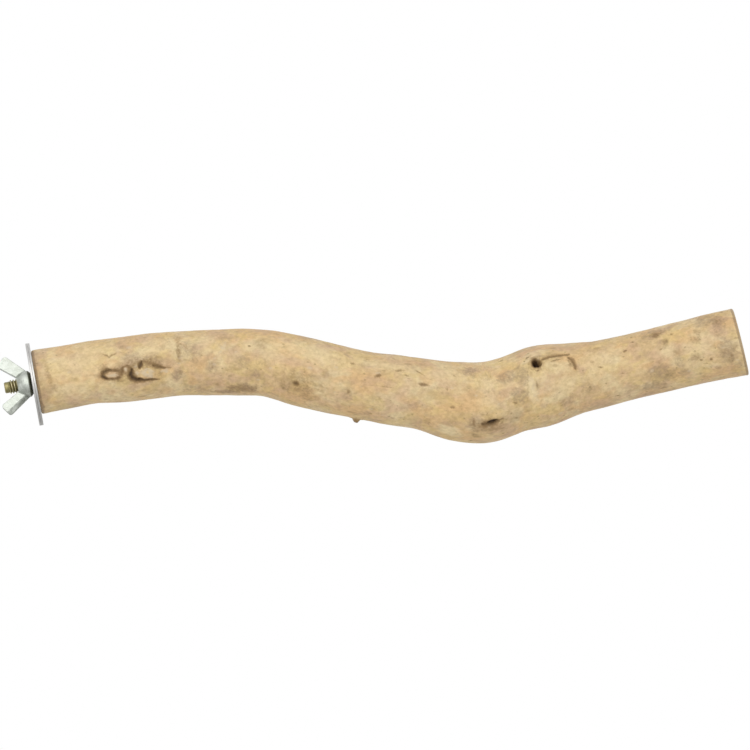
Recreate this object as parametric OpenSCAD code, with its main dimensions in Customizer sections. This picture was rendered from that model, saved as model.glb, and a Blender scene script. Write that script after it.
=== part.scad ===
// Natural branch bird perch, held to a cage wall by a stud, two large washers and a wing nut.
// The stud's axis lies along X, the wood runs towards +X and +Z is up.
// The origin is on the stud's axis, where the faces of the two washers meet.

/* [Branch] */
// Reach of the wood along the stud's axis, from one sawn end to the other
branch_reach = 321; // [240:1:420]
// Diameter of the wood at the sawn end by the washers
branch_d = 29; // [24:0.5:36]
// How far the middle of the free end hangs below the stud's axis
branch_drop = 37.3; // [0:0.1:50]
// How far the branch wanders to either side of its upright plane
branch_sway = 4; // [0:0.5:8]
// Rounding left by sanding round each sawn end
end_bevel = 0.8; // [0.3:0.1:1.6]
// Lean of the free end's saw cut, top towards the washers
cut_lean = 6; // [0:1:8]

/* [Knots] */
// Height of the swelling round the main knot
knot_rise = 1.6; // [0:0.1:2.5]
// Mouth diameter of the hollow in the main knot
knot_hole_d = 5.4; // [3:0.1:7]
// Depth of the hollow in the main knot
knot_hole_depth = 5; // [2:0.5:7]
// Diameter of the broken twig under the branch
twig_d = 3.8; // [2:0.1:6]
// How far the broken twig stands out of the wood
twig_stand = 2.2; // [1:0.1:5]

/* [Stud] */
// Diameter over the crests of the machine thread
thread_d = 6.35; // [5.5:0.05:7]
// Pitch of the machine thread
thread_pitch = 1.27; // [1:0.01:1.5]
// Length of the stud that stands out past the faces where the washers meet
stud_reach = 13.7; // [12:0.1:30]
// How much the plain tip at the free end is thinner than the thread's root, on the radius
tip_step = 0.18; // [0.05:0.01:0.4]
// Length of the plain tip
tip_len = 1.9; // [1.4:0.1:3]
// Chamfer at the end of the tip
tip_chamfer = 0.4; // [0.2:0.05:0.6]
// Length of machine thread that is hidden in the wood
thread_hidden = 5; // [3:0.5:10]
// Length of the plain shank
shank_len = 6; // [3:0.5:10]
// Length of the wood screw, with its point
screw_len = 25; // [18:0.5:30]
// Diameter over the crests of the wood screw
screw_d = 6.2; // [5.5:0.05:7]
// Diameter of the wood screw's core
screw_core_d = 4.2; // [3.5:0.05:5]
// Pitch of the wood screw
screw_pitch = 2.54; // [2:0.01:3.5]
// Length of the wood screw's point
point_len = 4; // [3:0.5:6]

/* [Washers] */
// Outside diameter of each washer
washer_d = 38.1; // [30:0.1:45]
// How much larger than the thread the hole in each washer is
washer_play = 1.6; // [0.6:0.1:3]
// Thickness of each washer
washer_t = 1; // [0.8:0.1:2]
// Rounding of the stamped rims
washer_bevel = 0.15; // [0.05:0.01:0.3]
// Gap that the hanging washers keep from the top of the thread
washer_rest_gap = 0.1; // [0.05:0.01:0.3]

/* [Wing nut] */
// Height of the hub
nut_h = 6.8; // [6:0.1:8]
// Diameter of the hub at its base
nut_base_d = 12.2; // [11:0.1:14]
// Thickness of each wing
wing_t = 2.2; // [1.5:0.1:3]
// Length of each wing from its root inside the hub
wing_len = 12.8; // [9:0.1:16]
// Width of each wing where it leaves the hub
wing_root_w = 4.8; // [4:0.1:6]
// Width of each wing at its tip
wing_tip_w = 6.2; // [5:0.1:8]
// Corner radius at the wing tips
wing_corner_r = 1.3; // [0.5:0.1:2]
// Angle between each wing and the stud's axis
wing_spread = 39; // [30:1:50]
// How much wider the upper wing opens than the lower one, to each side of the spread
wing_skew = 5; // [0:1:6]
// Turn of the wings about the stud from upright
wing_turn = 22; // [0:1:90]

/* [Fits] */
// Gap on the radius between the threads of the stud and the nut
thread_gap = 0.1; // [0.06:0.01:0.12]
// Gap on the radius between the machine thread and its hole in the wood
hole_gap = 0.15; // [0.05:0.05:0.4]

/* [Hidden] */
$fn = 64;
// Overrun of every cut past the face that it opens
over = 0.5;

// Places along the branch at even steps of its reach, from the washers to the free end.
// Each row is the share of the drop, the share of the sway and the share of the end diameter.
course_shares = [
    [0, 0, 1], [0, 0, 0.98], [0, 0.1, 0.98], [0.03, 0.25, 1.02], [0.05, 0.45, 1.03],
    [0.08, 0.6, 1.02], [0.13, 0.5, 1.04], [0.19, 0.25, 1.07], [0.27, -0.1, 1.07], [0.43, -0.5, 1.12],
    [0.59, -0.8, 1.11], [0.73, -1, 1.08], [0.85, -0.9, 1.12], [0.97, -0.6, 1.13], [1.12, -0.2, 1.24],
    [1.2, 0.3, 1.28], [1.16, 0.6, 1.21], [1.12, 0.8, 1.28], [1.1, 0.9, 1.15], [1.1, 0.9, 1.06],
    [1.08, 0.8, 1.03], [1.06, 0.7, 1.04], [1.04, 0.6, 1.06], [1.02, 0.5, 1.09], [1.01, 0.5, 1.11]
];
// Slices along the wood
slices = 72;
// Points round each slice
rounds = 40;
// How far the wood is from round, as a share of its radius, and how often that turns on its way
oval_share = 0.015;
oval_turns = 1.5;

// Place of the main knot as a share of the reach, and its angle from the top towards the front
knot_share = 0.712;
knot_angle = 56;
// Place and angle of the broken twig
twig_share = 0.455;
twig_angle = 172;
// Swellings round the knots, each a place, an angle, a share of the main knot's rise
// and its spread as a share of the end diameter
swelling_shares = [
    [knot_share, knot_angle, 1, 0.36], [0.626, 122, 0.6, 0.3], [0.375, 112, 0.3, 0.25], [0.159, 99, 0.3, 0.3]
];
// Taper of the hollow and of the twig, as shares of their mouth and root diameters
hollow_floor_share = 0.5;
twig_end_share = 0.5;

// Where the wood starts, and the radii of the machine thread
wood_x = washer_t;
crest_r = thread_d / 2;
thread_depth = 0.55 * thread_pitch;
root_r = crest_r - thread_depth;
tip_r = root_r - tip_step;
// The shank is as thick as the bar that the thread was rolled on
shank_r = crest_r - 0.32 * thread_pitch;
// Half the width of the thread's ridge at its crest, and how fast the flanks widen inwards
crest_half_w = 0.065 * thread_pitch;
flank_slope = tan(30);
// How deep the foot of a ridge is sunk in the metal that carries it
sink = 0.13 * thread_pitch;
// Steps round one turn of a ridge, and steps over which its ends fade
ridge_steps = 24;
fade_steps = 12;
// The wood screw's ridge, sharper and coarser than the machine thread's
screw_crest_half_w = 0.04 * screw_pitch;
screw_foot_half_w = 0.22 * screw_pitch;
screw_sink = 0.08 * screw_pitch;
point_flat_share = 0.12;

// The washers' hole, and how far below the stud's axis they hang
washer_hole_r = crest_r + washer_play / 2;
washer_drop = washer_play / 2 - washer_rest_gap;

// Places along the stud, counted from the origin towards the wood
tip_x = -stud_reach;
thread_x = tip_x + tip_len;
shank_x = wood_x + thread_hidden;
screw_x = shank_x + shank_len;
bolt_end_x = screw_x + screw_len;
// Depth left open past the screw's point
pilot_spare = 0.04 * screw_len;
bore_r = crest_r + thread_gap;
nut_x = -washer_t;

// The hub's outline: height as a share of the hub's, radius as a share of the base's
hub_shares = [
    [0, 0.93], [0.07, 0.99], [0.14, 1], [0.26, 1], [0.45, 0.97], [0.62, 0.91], [0.78, 0.82], [0.9, 0.73], [1, 0.63]
];
// Root of the wings inside the hub, as shares of its height and of its base radius
wing_root_h_share = 0.48;
wing_root_r_share = 0.68;
// Flare at each mouth of the nut's bore
mouth_flare = thread_depth / 2;
// Points on each rounded wing corner
corner_steps = 6;
// Bare metal kept between a ridge's end and the mouth of the bore
ridge_margin = thread_pitch;

// Smooth blend through four values, from b at u = 0 to c at u = 1
function glide(a, b, c, d, u) =
    b + 0.5 * u * (c - a + u * (2 * a - 5 * b + 4 * c - d + u * (3 * (b - c) + d - a)));
// A column of the course table at a share of the reach
function course(t, column) =
    let (
        last = len(course_shares) - 1,
        at = min(max(t, 0), 1) * last,
        i = min(floor(at), last - 1),
        row = function (k) course_shares[min(max(k, 0), last)][column]
    )
    glide(row(i - 1), row(i), row(i + 1), row(i + 2), at - i);
// The middle of the wood at a share of the reach
function middle(t) =
    [wood_x + branch_reach * t, branch_sway * course(t, 1), -branch_drop * course(t, 0)];
// The direction in which the wood runs there, square to the stud at the sawn end by the washers
function heading(t) =
    let (step = 0.5 / slices, run = middle(min(t + step, 1)) - middle(max(t - step, 0)))
    t <= end_bevel / branch_reach ? [1, 0, 0] : run / norm(run);
// The upward direction square to a heading
function upward(along) =
    let (up = [0, 0, 1] - along[2] * along) up / norm(up);
// The outward direction at an angle from the top, towards the front
function outward(t, angle) =
    let (along = heading(t), up = upward(along))
    cos(angle) * up + sin(angle) * cross(along, up);
// The angle between two directions round the wood
function turn_between(a, b) = abs((a - b + 540) % 360 - 180);
// The height of all the swellings at a place
function swelling(t, angle) =
    let (heights = [for (s = swelling_shares)
        let (
            spread = s[3] * branch_d,
            along = (t - s[0]) * branch_reach / spread,
            round = turn_between(angle, s[1]) * PI / 180 * branch_d / 2 / spread
        )
        s[2] * knot_rise * exp(-2 * (along * along + round * round))])
    heights * [for (s = swelling_shares) 1];
// The radius of the wood at a place
function wood_r(t, angle) =
    branch_d / 2 * course(t, 2) * (1 + oval_share * cos(2 * angle - 360 * oval_turns * t))
    + swelling(t, angle);
// One slice round the wood, drawn in at the bevels and leaned at the free end's cut
function slice(t, inset, lean) =
    let (along = heading(t), up = upward(along), side = cross(along, up))
    [for (j = [0 : rounds - 1])
        let (
            angle = 360 * j / rounds,
            r = wood_r(t, angle) - inset,
            rise = r * cos(angle)
        )
        middle(t) + side * r * sin(angle) + up * rise * cos(lean) - along * rise * sin(lean)];

// The debarked wood as one closed skin
module wood_skin() {
    bevel_t = end_bevel / branch_reach;
    inner = [for (i = [1 : slices - 1]) slice(i / slices, 0, 0)];
    rings = concat(
        [slice(0, end_bevel, 0), slice(bevel_t, 0, 0)],
        inner,
        [slice(1 - bevel_t, 0, cut_lean), slice(1, end_bevel, cut_lean)]
    );
    last = len(rings) - 1;
    skin = [for (i = [0 : last - 1], j = [0 : rounds - 1])
        let (k = (j + 1) % rounds, a = i * rounds + j, b = i * rounds + k)
        each [[a, b, b + rounds], [a, b + rounds, a + rounds]]];
    near_end = [for (j = [rounds - 1 : -1 : 0]) j];
    far_end = [for (j = [0 : rounds - 1]) last * rounds + j];
    polyhedron([for (ring = rings) each ring], concat(skin, [near_end, far_end]));
}

// Turns a shape that stands along Z so that it lies along X
module along_x(x) {
    translate([x, 0, 0]) rotate([0, 90, 0]) children();
}

// Turns a shape that stands along Z so that it points out of the wood at a place
module out_of_wood(t, angle, depth) {
    out = outward(t, angle);
    place = middle(t) + (wood_r(t, angle) - depth) * out;
    translate(place) rotate([0, acos(out[2]), atan2(out[1], out[0])]) children();
}

// A screw ridge about Z that climbs from one height to another and fades into its foot at both ends
module ridge(low, high, pitch, foot_r, top_r, foot_half_w, top_half_w) {
    count = floor((high - low) / pitch * ridge_steps);
    points = [for (i = [0 : count])
        let (
            angle = 360 * i / ridge_steps,
            z = low + pitch * i / ridge_steps,
            full = min(1, (i + 1) / fade_steps, (count - i + 1) / fade_steps),
            r = foot_r + (top_r - foot_r) * full,
            ray = [cos(angle), sin(angle), 0]
        )
        each [
            ray * foot_r + [0, 0, z - foot_half_w],
            ray * foot_r + [0, 0, z + foot_half_w],
            ray * r + [0, 0, z + top_half_w],
            ray * r + [0, 0, z - top_half_w]
        ]];
    sides = [for (i = [0 : count - 1], j = [0 : 3])
        let (k = (j + 1) % 4, a = 4 * i + j, b = 4 * i + k)
        each [[a, a + 4, b + 4], [a, b + 4, b]]];
    ends = [[0, 1, 2, 3], [for (j = [3 : -1 : 0]) 4 * count + j]];
    faces = concat(sides, ends);
    inwards = top_r < foot_r;
    polyhedron(points, inwards ? [for (f = faces) [for (j = [len(f) - 1 : -1 : 0]) f[j]]] : faces);
}

// Half the width of the machine thread's ridge at a radius
function ridge_half_w(r) = crest_half_w + (crest_r - r) * flank_slope;

module branch() {
    color("burlywood") difference() {
        union() {
            wood_skin();
            out_of_wood(twig_share, twig_angle, twig_d)
                cylinder(d1 = twig_d, d2 = twig_d * twig_end_share, h = twig_d + twig_stand);
        }
        along_x(wood_x - over) cylinder(r = crest_r + hole_gap, h = over + thread_hidden + shank_len);
        along_x(screw_x - over) cylinder(d = screw_core_d, h = over + screw_len + pilot_spare);
        out_of_wood(knot_share, knot_angle, knot_hole_depth)
            cylinder(d1 = knot_hole_d * hollow_floor_share, d2 = knot_hole_d, h = knot_hole_depth + over);
    }
}

module hanger_bolt() {
    core = [
        [0, tip_x],
        [tip_r - tip_chamfer, tip_x],
        [tip_r, tip_x + tip_chamfer],
        [tip_r, thread_x],
        [root_r, thread_x],
        [root_r, shank_x],
        [shank_r, shank_x],
        [shank_r, screw_x],
        [screw_core_d / 2, screw_x],
        [screw_core_d / 2, bolt_end_x - point_len],
        [screw_core_d / 2 * point_flat_share, bolt_end_x],
        [0, bolt_end_x]
    ];
    foot_r = root_r - sink;
    color("darkkhaki") along_x(0) {
        rotate_extrude() polygon(core);
        ridge(
            thread_x + thread_pitch / 2, shank_x - thread_pitch / 2, thread_pitch,
            foot_r, crest_r, ridge_half_w(foot_r), crest_half_w
        );
        ridge(
            screw_x + screw_pitch / 2, bolt_end_x - point_len - screw_pitch / 2, screw_pitch,
            screw_core_d / 2 - screw_sink, screw_d / 2, screw_foot_half_w, screw_crest_half_w
        );
    }
}

// A stamped washer whose inner face starts at x
module washer(x) {
    rim_r = washer_d / 2;
    outline = [
        [washer_hole_r, 0],
        [rim_r - washer_bevel, 0],
        [rim_r, washer_bevel],
        [rim_r, washer_t - washer_bevel],
        [rim_r - washer_bevel, washer_t],
        [washer_hole_r, washer_t]
    ];
    translate([0, 0, -washer_drop]) along_x(x) rotate_extrude() polygon(outline);
}

module inner_washer() {
    color("silver") washer(0);
}

module outer_washer() {
    color("gainsboro") washer(-washer_t);
}

// The outline of one wing, running along X from its root, with rounded tip corners
function wing_outline() =
    let (
        corner = function (side, first)
            [for (i = [0 : corner_steps])
                let (angle = first + 90 * i / corner_steps)
                [wing_len - wing_corner_r, side * (wing_tip_w / 2 - wing_corner_r)]
                + wing_corner_r * [cos(angle), sin(angle)]]
    )
    concat([[0, wing_root_w / 2], [0, -wing_root_w / 2]], corner(-1, -90), corner(1, 0));

// One wing, opened by an angle from the stud's axis, which stands along Z here
module wing(spread) {
    root = [wing_root_r_share * nut_base_d / 2, 0, wing_root_h_share * nut_h];
    translate(root) rotate([90, 90 - spread, 180]) mirror([1, 0, 0])
        linear_extrude(height = wing_t, center = true) polygon(wing_outline());
}

// The wing nut's hub and wings stand along Z with the base at zero, and are then laid outwards on the stud
module wing_nut() {
    hub = concat([[0, 0]], [for (s = hub_shares) [s[1] * nut_base_d / 2, s[0] * nut_h]], [[0, nut_h]]);
    bore = [
        [0, -over],
        [bore_r + mouth_flare + over, -over],
        [bore_r, mouth_flare],
        [bore_r, nut_h - mouth_flare],
        [bore_r + mouth_flare + over, nut_h + over],
        [0, nut_h + over]
    ];
    color("lightgray") {
        translate([nut_x, 0, 0]) rotate([-wing_turn, 0, 0]) rotate([0, -90, 0]) difference() {
            union() {
                rotate_extrude() polygon(hub);
                wing(wing_spread + wing_skew);
                rotate([0, 0, 180]) wing(wing_spread - wing_skew);
            }
            rotate_extrude() polygon(bore);
        }
        nut_thread();
    }
}

// The nut's own ridge lies midway between the turns of the stud's
module nut_thread() {
    top_r = root_r + thread_gap;
    foot_r = bore_r + sink;
    shrink = thread_gap / cos(30);
    first = thread_x + thread_pitch / 2;
    // Steps along the stud's thread to the first turn that lies wholly in the nut
    low = first + thread_pitch * (ceil((nut_x - nut_h + ridge_margin - first) / thread_pitch) + 0.5);
    along_x(0) ridge(
        low, nut_x - ridge_margin, thread_pitch, foot_r, top_r,
        thread_pitch / 2 - ridge_half_w(foot_r) - shrink, thread_pitch / 2 - ridge_half_w(top_r) - shrink
    );
}

branch();
hanger_bolt();
inner_washer();
outer_washer();
wing_nut();
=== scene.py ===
import math

import bmesh
import bpy
import numpy as np
from mathutils import Matrix, Vector, noise


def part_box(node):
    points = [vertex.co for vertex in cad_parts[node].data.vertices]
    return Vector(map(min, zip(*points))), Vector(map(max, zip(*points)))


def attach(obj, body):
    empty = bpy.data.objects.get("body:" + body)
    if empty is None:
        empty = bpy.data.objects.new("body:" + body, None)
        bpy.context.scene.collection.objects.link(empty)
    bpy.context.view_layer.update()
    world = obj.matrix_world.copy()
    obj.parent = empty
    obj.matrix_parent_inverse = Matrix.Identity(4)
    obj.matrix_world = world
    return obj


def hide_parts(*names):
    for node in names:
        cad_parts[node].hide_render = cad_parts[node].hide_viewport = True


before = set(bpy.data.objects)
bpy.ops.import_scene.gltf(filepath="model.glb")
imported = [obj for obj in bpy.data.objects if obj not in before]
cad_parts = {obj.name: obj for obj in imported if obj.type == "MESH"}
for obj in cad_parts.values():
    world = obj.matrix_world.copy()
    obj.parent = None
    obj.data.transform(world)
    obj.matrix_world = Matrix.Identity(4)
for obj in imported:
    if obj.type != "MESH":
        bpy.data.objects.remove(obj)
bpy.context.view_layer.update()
mm = 0.001
stage = bpy.context.scene
print("frame:", ", ".join(sorted(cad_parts)))


# Node helpers

def wire(tree, socket, value):
    if isinstance(value, bpy.types.NodeSocket):
        tree.links.new(value, socket)
    else:
        socket.default_value = value


def addNode(tree, kind, settings=None, inputs=None):
    node = tree.nodes.new(kind)
    for name, value in (settings or {}).items():
        setattr(node, name, value)
    for name, value in (inputs or {}).items():
        wire(tree, node.inputs[name], value)
    return node


def sumUp(tree, operation, *values):
    return addNode(tree, "ShaderNodeMath", {"operation": operation}, dict(enumerate(values))).outputs[0]


def scaled(tree, value, factor):
    return sumUp(tree, "MULTIPLY", value, factor)


def addUp(tree, total, *parts):  # each part is (value, weight)
    for value, weight in parts:
        total = sumUp(tree, "MULTIPLY_ADD", value, weight, total)
    return total


def remap(tree, value, low, high, toLow=0.0, toHigh=1.0, kind="LINEAR"):
    sockets = {"Value": value, "From Min": low, "From Max": high, "To Min": toLow, "To Max": toHigh}
    return addNode(tree, "ShaderNodeMapRange", {"interpolation_type": kind}, sockets).outputs["Result"]


def vectorSum(tree, operation, first, second):
    node = addNode(tree, "ShaderNodeVectorMath", {"operation": operation}, {0: first})
    wire(tree, node.inputs["Scale" if operation == "SCALE" else 1], second)
    return node.outputs[0]


def lengthOf(tree, vector):
    return addNode(tree, "ShaderNodeVectorMath", {"operation": "LENGTH"}, {0: vector}).outputs["Value"]


def addNoise(tree, place, scale, detail, roughness=0.5, distortion=0.0, output="Fac"):
    return addNode(tree, "ShaderNodeTexNoise", None, {
        "Vector": place, "Scale": scale, "Detail": detail, "Roughness": roughness, "Distortion": distortion,
    }).outputs[output]


def painted(tree, name, output="Fac"):
    return addNode(tree, "ShaderNodeAttribute", {"attribute_name": name}).outputs[output]


def blendColour(tree, share, under, over, kind="MIX"):
    node = addNode(tree, "ShaderNodeMix", {"data_type": "RGBA", "blend_type": kind}, {0: share})
    for socket, value in ((node.inputs[6], under), (node.inputs[7], over)):
        wire(tree, socket, (*value, 1.0) if isinstance(value, tuple) else value)
    return node.outputs[2]


def layOut(tree):  # one column for each step away from the output
    columns = {}
    todo = [(node, 0) for node in tree.nodes if not any(s.is_linked for s in node.outputs)]
    while todo:
        node, column = todo.pop()
        if columns.get(node.name, -1) >= column:
            continue
        columns[node.name] = column
        todo += [(link.from_node, column + 1) for socket in node.inputs for link in socket.links]
    rows = {}
    for name, column in columns.items():
        tree.nodes[name].location = (-240 * column, -190 * rows.get(column, 0))
        rows[column] = rows.get(column, 0) + 1


# Effects that more than one finish uses: each gives one mask, 0 to 1

def mottleMask(tree, given):  # soft cloudy patches
    place = vectorSum(tree, "MULTIPLY", given["Place"], given["Stretch"])
    scale = sumUp(tree, "DIVIDE", 1.0, given["Patch"])
    clouds = addNoise(tree, place, scale, given["Detail"], 0.58, 0.25)
    return remap(tree, clouds, given["Low"], given["High"], kind="SMOOTHSTEP")


def specksMask(tree, given):  # small scattered marks, each of its own size
    place = vectorSum(tree, "MULTIPLY", given["Place"], given["Stretch"])
    wander = addNoise(tree, place, 0.9, 2.0, output="Color")
    shifted = vectorSum(tree, "ADD", place, vectorSum(tree, "SCALE", wander, 0.8))
    scale = sumUp(tree, "DIVIDE", 1.0, given["Spacing"])
    cells = addNode(tree, "ShaderNodeTexVoronoi", None, {"Vector": shifted, "Scale": scale}).outputs
    pick = addNode(tree, "ShaderNodeSeparateColor", None, {"Color": cells["Color"]}).outputs
    size = scaled(tree, given["Size"], pick["Green"])
    spot = remap(tree, cells["Distance"], size, scaled(tree, size, 0.45), kind="SMOOTHSTEP")
    return scaled(tree, spot, sumUp(tree, "LESS_THAN", pick["Red"], given["Share"]))


def edgeWearMask(tree, given):  # breaks up a painted edge or hollow so that it ends raggedly
    scale = sumUp(tree, "DIVIDE", 1.0, given["Grain"])
    centred = sumUp(tree, "SUBTRACT", addNoise(tree, given["Place"], scale, 5.0, 0.62), 0.5)
    pushed = addUp(tree, given["Painted"], (centred, given["Ragged"]))
    return remap(tree, pushed, given["Start"], given["Full"], kind="SMOOTHSTEP")


def scratchesMask(tree, given):  # two crossing families of hairlines
    families = []
    for turn, stretch in (((0.3, 0.5, 0.2), (0.12, 3.0, 3.0)), ((1.2, 2.1, 0.7), (3.0, 0.1, 2.6))):
        turned = addNode(tree, "ShaderNodeMapping", None,
                         {"Vector": given["Place"], "Rotation": turn, "Scale": stretch}).outputs[0]
        lines = addNoise(tree, turned, sumUp(tree, "DIVIDE", 1.5, given["Size"]), 3.0, 0.7)
        families.append(remap(tree, lines, given["Share"], sumUp(tree, "ADD", given["Share"], 0.06)))
    return sumUp(tree, "MAXIMUM", *families)


def buildEffect(name, makeMask, inputs):
    tree = bpy.data.node_groups.new(name, "ShaderNodeTree")
    for title, value in {"Place": (0, 0, 0), **inputs}.items():
        kind = "NodeSocketVector" if isinstance(value, tuple) else "NodeSocketFloat"
        tree.interface.new_socket(name=title, in_out="INPUT", socket_type=kind).default_value = value
    tree.interface.new_socket(name="Mask", in_out="OUTPUT", socket_type="NodeSocketFloat")
    given, made = tree.nodes.new("NodeGroupInput").outputs, tree.nodes.new("NodeGroupOutput").inputs
    wire(tree, made["Mask"], makeMask(tree, given))
    layOut(tree)
    return tree


effects = {name: buildEffect(name, makeMask, inputs) for name, makeMask, inputs in (
    ("mottle", mottleMask, {"Patch": 5.0, "Stretch": (1, 1, 1), "Detail": 4.0, "Low": 0.4, "High": 0.65}),
    ("specks", specksMask, {"Spacing": 3.0, "Size": 0.15, "Stretch": (1, 1, 1), "Share": 0.5}),
    ("edgeWear", edgeWearMask, {"Painted": 0.0, "Grain": 0.6, "Ragged": 0.6, "Start": 0.35, "Full": 0.75}),
    ("scratches", scratchesMask, {"Size": 1.0, "Share": 0.62}),
)}
print("shared effects:", ", ".join(effects))


def effect(tree, name, **inputs):  # one of the shared groups, with its own values
    node = tree.nodes.new("ShaderNodeGroup")
    node.node_tree = effects[name]
    node.label = name
    for title, value in inputs.items():
        wire(tree, node.inputs[title], value)
    return node.outputs["Mask"]


class Coat:  # a finish, with its colour built up tone over tone
    def __init__(self, name, look, place, metallic=0.0):
        self.material = bpy.data.materials.new(name)
        self.material.use_nodes = True
        self.tree, self.look = self.material.node_tree, look
        self.surface = self.tree.nodes["Principled BSDF"].inputs
        self.surface["Metallic"].default_value = metallic
        self.place = place(self.tree)

    def shifted(self, offset):
        return vectorSum(self.tree, "ADD", self.place, offset)

    def clouds(self, offset, patch, low, high, stretch=1.0, detail=5.0):
        return effect(self.tree, "mottle", Place=self.shifted(offset), Patch=patch, Stretch=(stretch, 1, 1),
                      Detail=detail, Low=low, High=high)

    def worn(self, mask, offset, grain, ragged, start, full):
        return effect(self.tree, "edgeWear", Painted=mask, Place=self.shifted(offset), Grain=grain,
                      Ragged=ragged, Start=start, Full=full)

    def specks(self, offset, spacing, size, kept, stretch=1.0):
        return effect(self.tree, "specks", Place=self.shifted(offset), Spacing=spacing, Size=size, Share=kept,
                      Stretch=(stretch, 1, 1))

    def cover(self, mask, share, tone):
        self.colour = blendColour(self.tree, scaled(self.tree, mask, share), self.colour, self.look[tone])

    def finish(self, rough, height):
        bump = addNode(self.tree, "ShaderNodeBump", None, {
            "Height": height, "Strength": 1.0, "Distance": self.look["bump"]})  # metres for a height of 1
        for title, value in (("Base Color", self.colour), ("Roughness", rough), ("Normal", bump.outputs[0])):
            wire(self.tree, self.surface[title], value)
        layOut(self.tree)
        return self.material


# Finishes

bareWoodLook = {
    "tan": (0.785, 0.565, 0.29), "cream": (0.86, 0.69, 0.4), "orange": (0.8, 0.52, 0.25),
    "yellow": (0.79, 0.585, 0.25), "rose": (0.69, 0.47, 0.295), "mauve": (0.275, 0.181, 0.117),
    "brown": (0.275, 0.16, 0.058), "olive": (0.24, 0.165, 0.062), "light": (0.92, 0.745, 0.43),
    "crack": (0.128, 0.072, 0.022), "knot": (0.045, 0.02, 0.005), "pale": (0.72, 0.58, 0.39),
    "endLight": (0.76, 0.6, 0.37), "endDark": (0.53, 0.35, 0.17), "roughness": (0.5, 0.74), "bump": 0.2 * mm,
    "grain": {"Red": (0.82, 1.09), "Green": (0.8, 1.09), "Blue": (0.76, 1.11)},  # darkest and lightest
    "pith": (0, 1.9, -1.2),
    # Broad tones: tone, offset, patch, low, high, share
    "tones": [
        ("orange", (31, 7, 19), 10.0, 0.46, 0.64, 0.7), ("yellow", (81, 10, 28), 8.0, 0.46, 0.62, 0.55),
        ("rose", (12, 66, 5), 9.0, 0.48, 0.66, 0.6), ("mauve", (7, 31, 55), 9.0, 0.5, 0.72, 0.26),
        ("brown", (5, 52, 14), 2.4, 0.48, 0.7, 0.17), ("rose", (27, 3, 71), 3.6, 0.5, 0.66, 0.25),
    ],
    # Stains: painted layer, tone, offset, patch, low, high, grain, share
    "stains": [
        ("greyShare", "mauve", (13, 41, 2), 7.0, 0.54, 0.7, 2.3, 0.52),
        ("brownShare", "brown", (40, 3, 77), 4.0, 0.57, 0.72, 1.8, 0.54),
        ("oliveShare", "olive", (61, 23, 8), 3.0, 0.59, 0.72, 1.3, 0.55),
    ],
    # Specks: tone, offset, spacing, size, share kept, stretch, share of the tone, height
    "specks": [
        ("brown", (0, 0, 0), 4.2, 0.3, 0.45, 0.45, 0.36, -0.35),
        ("olive", (31, 7, 19), 2.6, 0.26, 0.4, 0.8, 0.42, -0.3),
        ("pale", (3, 17, 9), 3.4, 0.3, 0.35, 0.6, 0.45, 0),
    ],
    # Painted edges: layer, tone, offset, grain, ragged, start, full, share
    "edges": [("edgeShare", "mauve", (0, 0, 0), 1.4, 0.8, 0.3, 0.85, 0.6),
              ("paleShare", "pale", (31, 7, 19), 1.3, 1.1, 0.2, 0.8, 0.8)],
    # How the painted dark deepens, from its soft rim inwards, in the same terms; inside the knot hole that
    # dark is painted shade, near black at its core
    "hollows": [("brown", (5, 9, 2), 0.9, 0.6, 0.02, 0.42, 0.7),
                ("crack", (0, 0, 0), 0.7, 0.5, 0.2, 0.8, 0.85), ("knot", (31, 7, 19), 0.6, 0.35, 0.62, 1, 1)],
    "surface": {"Specular IOR Level": 0.42, "Sheen Weight": 0.06, "Sheen Roughness": 0.4,  # fine dry fibres
                "Sheen Tint": (0.86, 0.93, 1.0, 1.0)},
}


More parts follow.
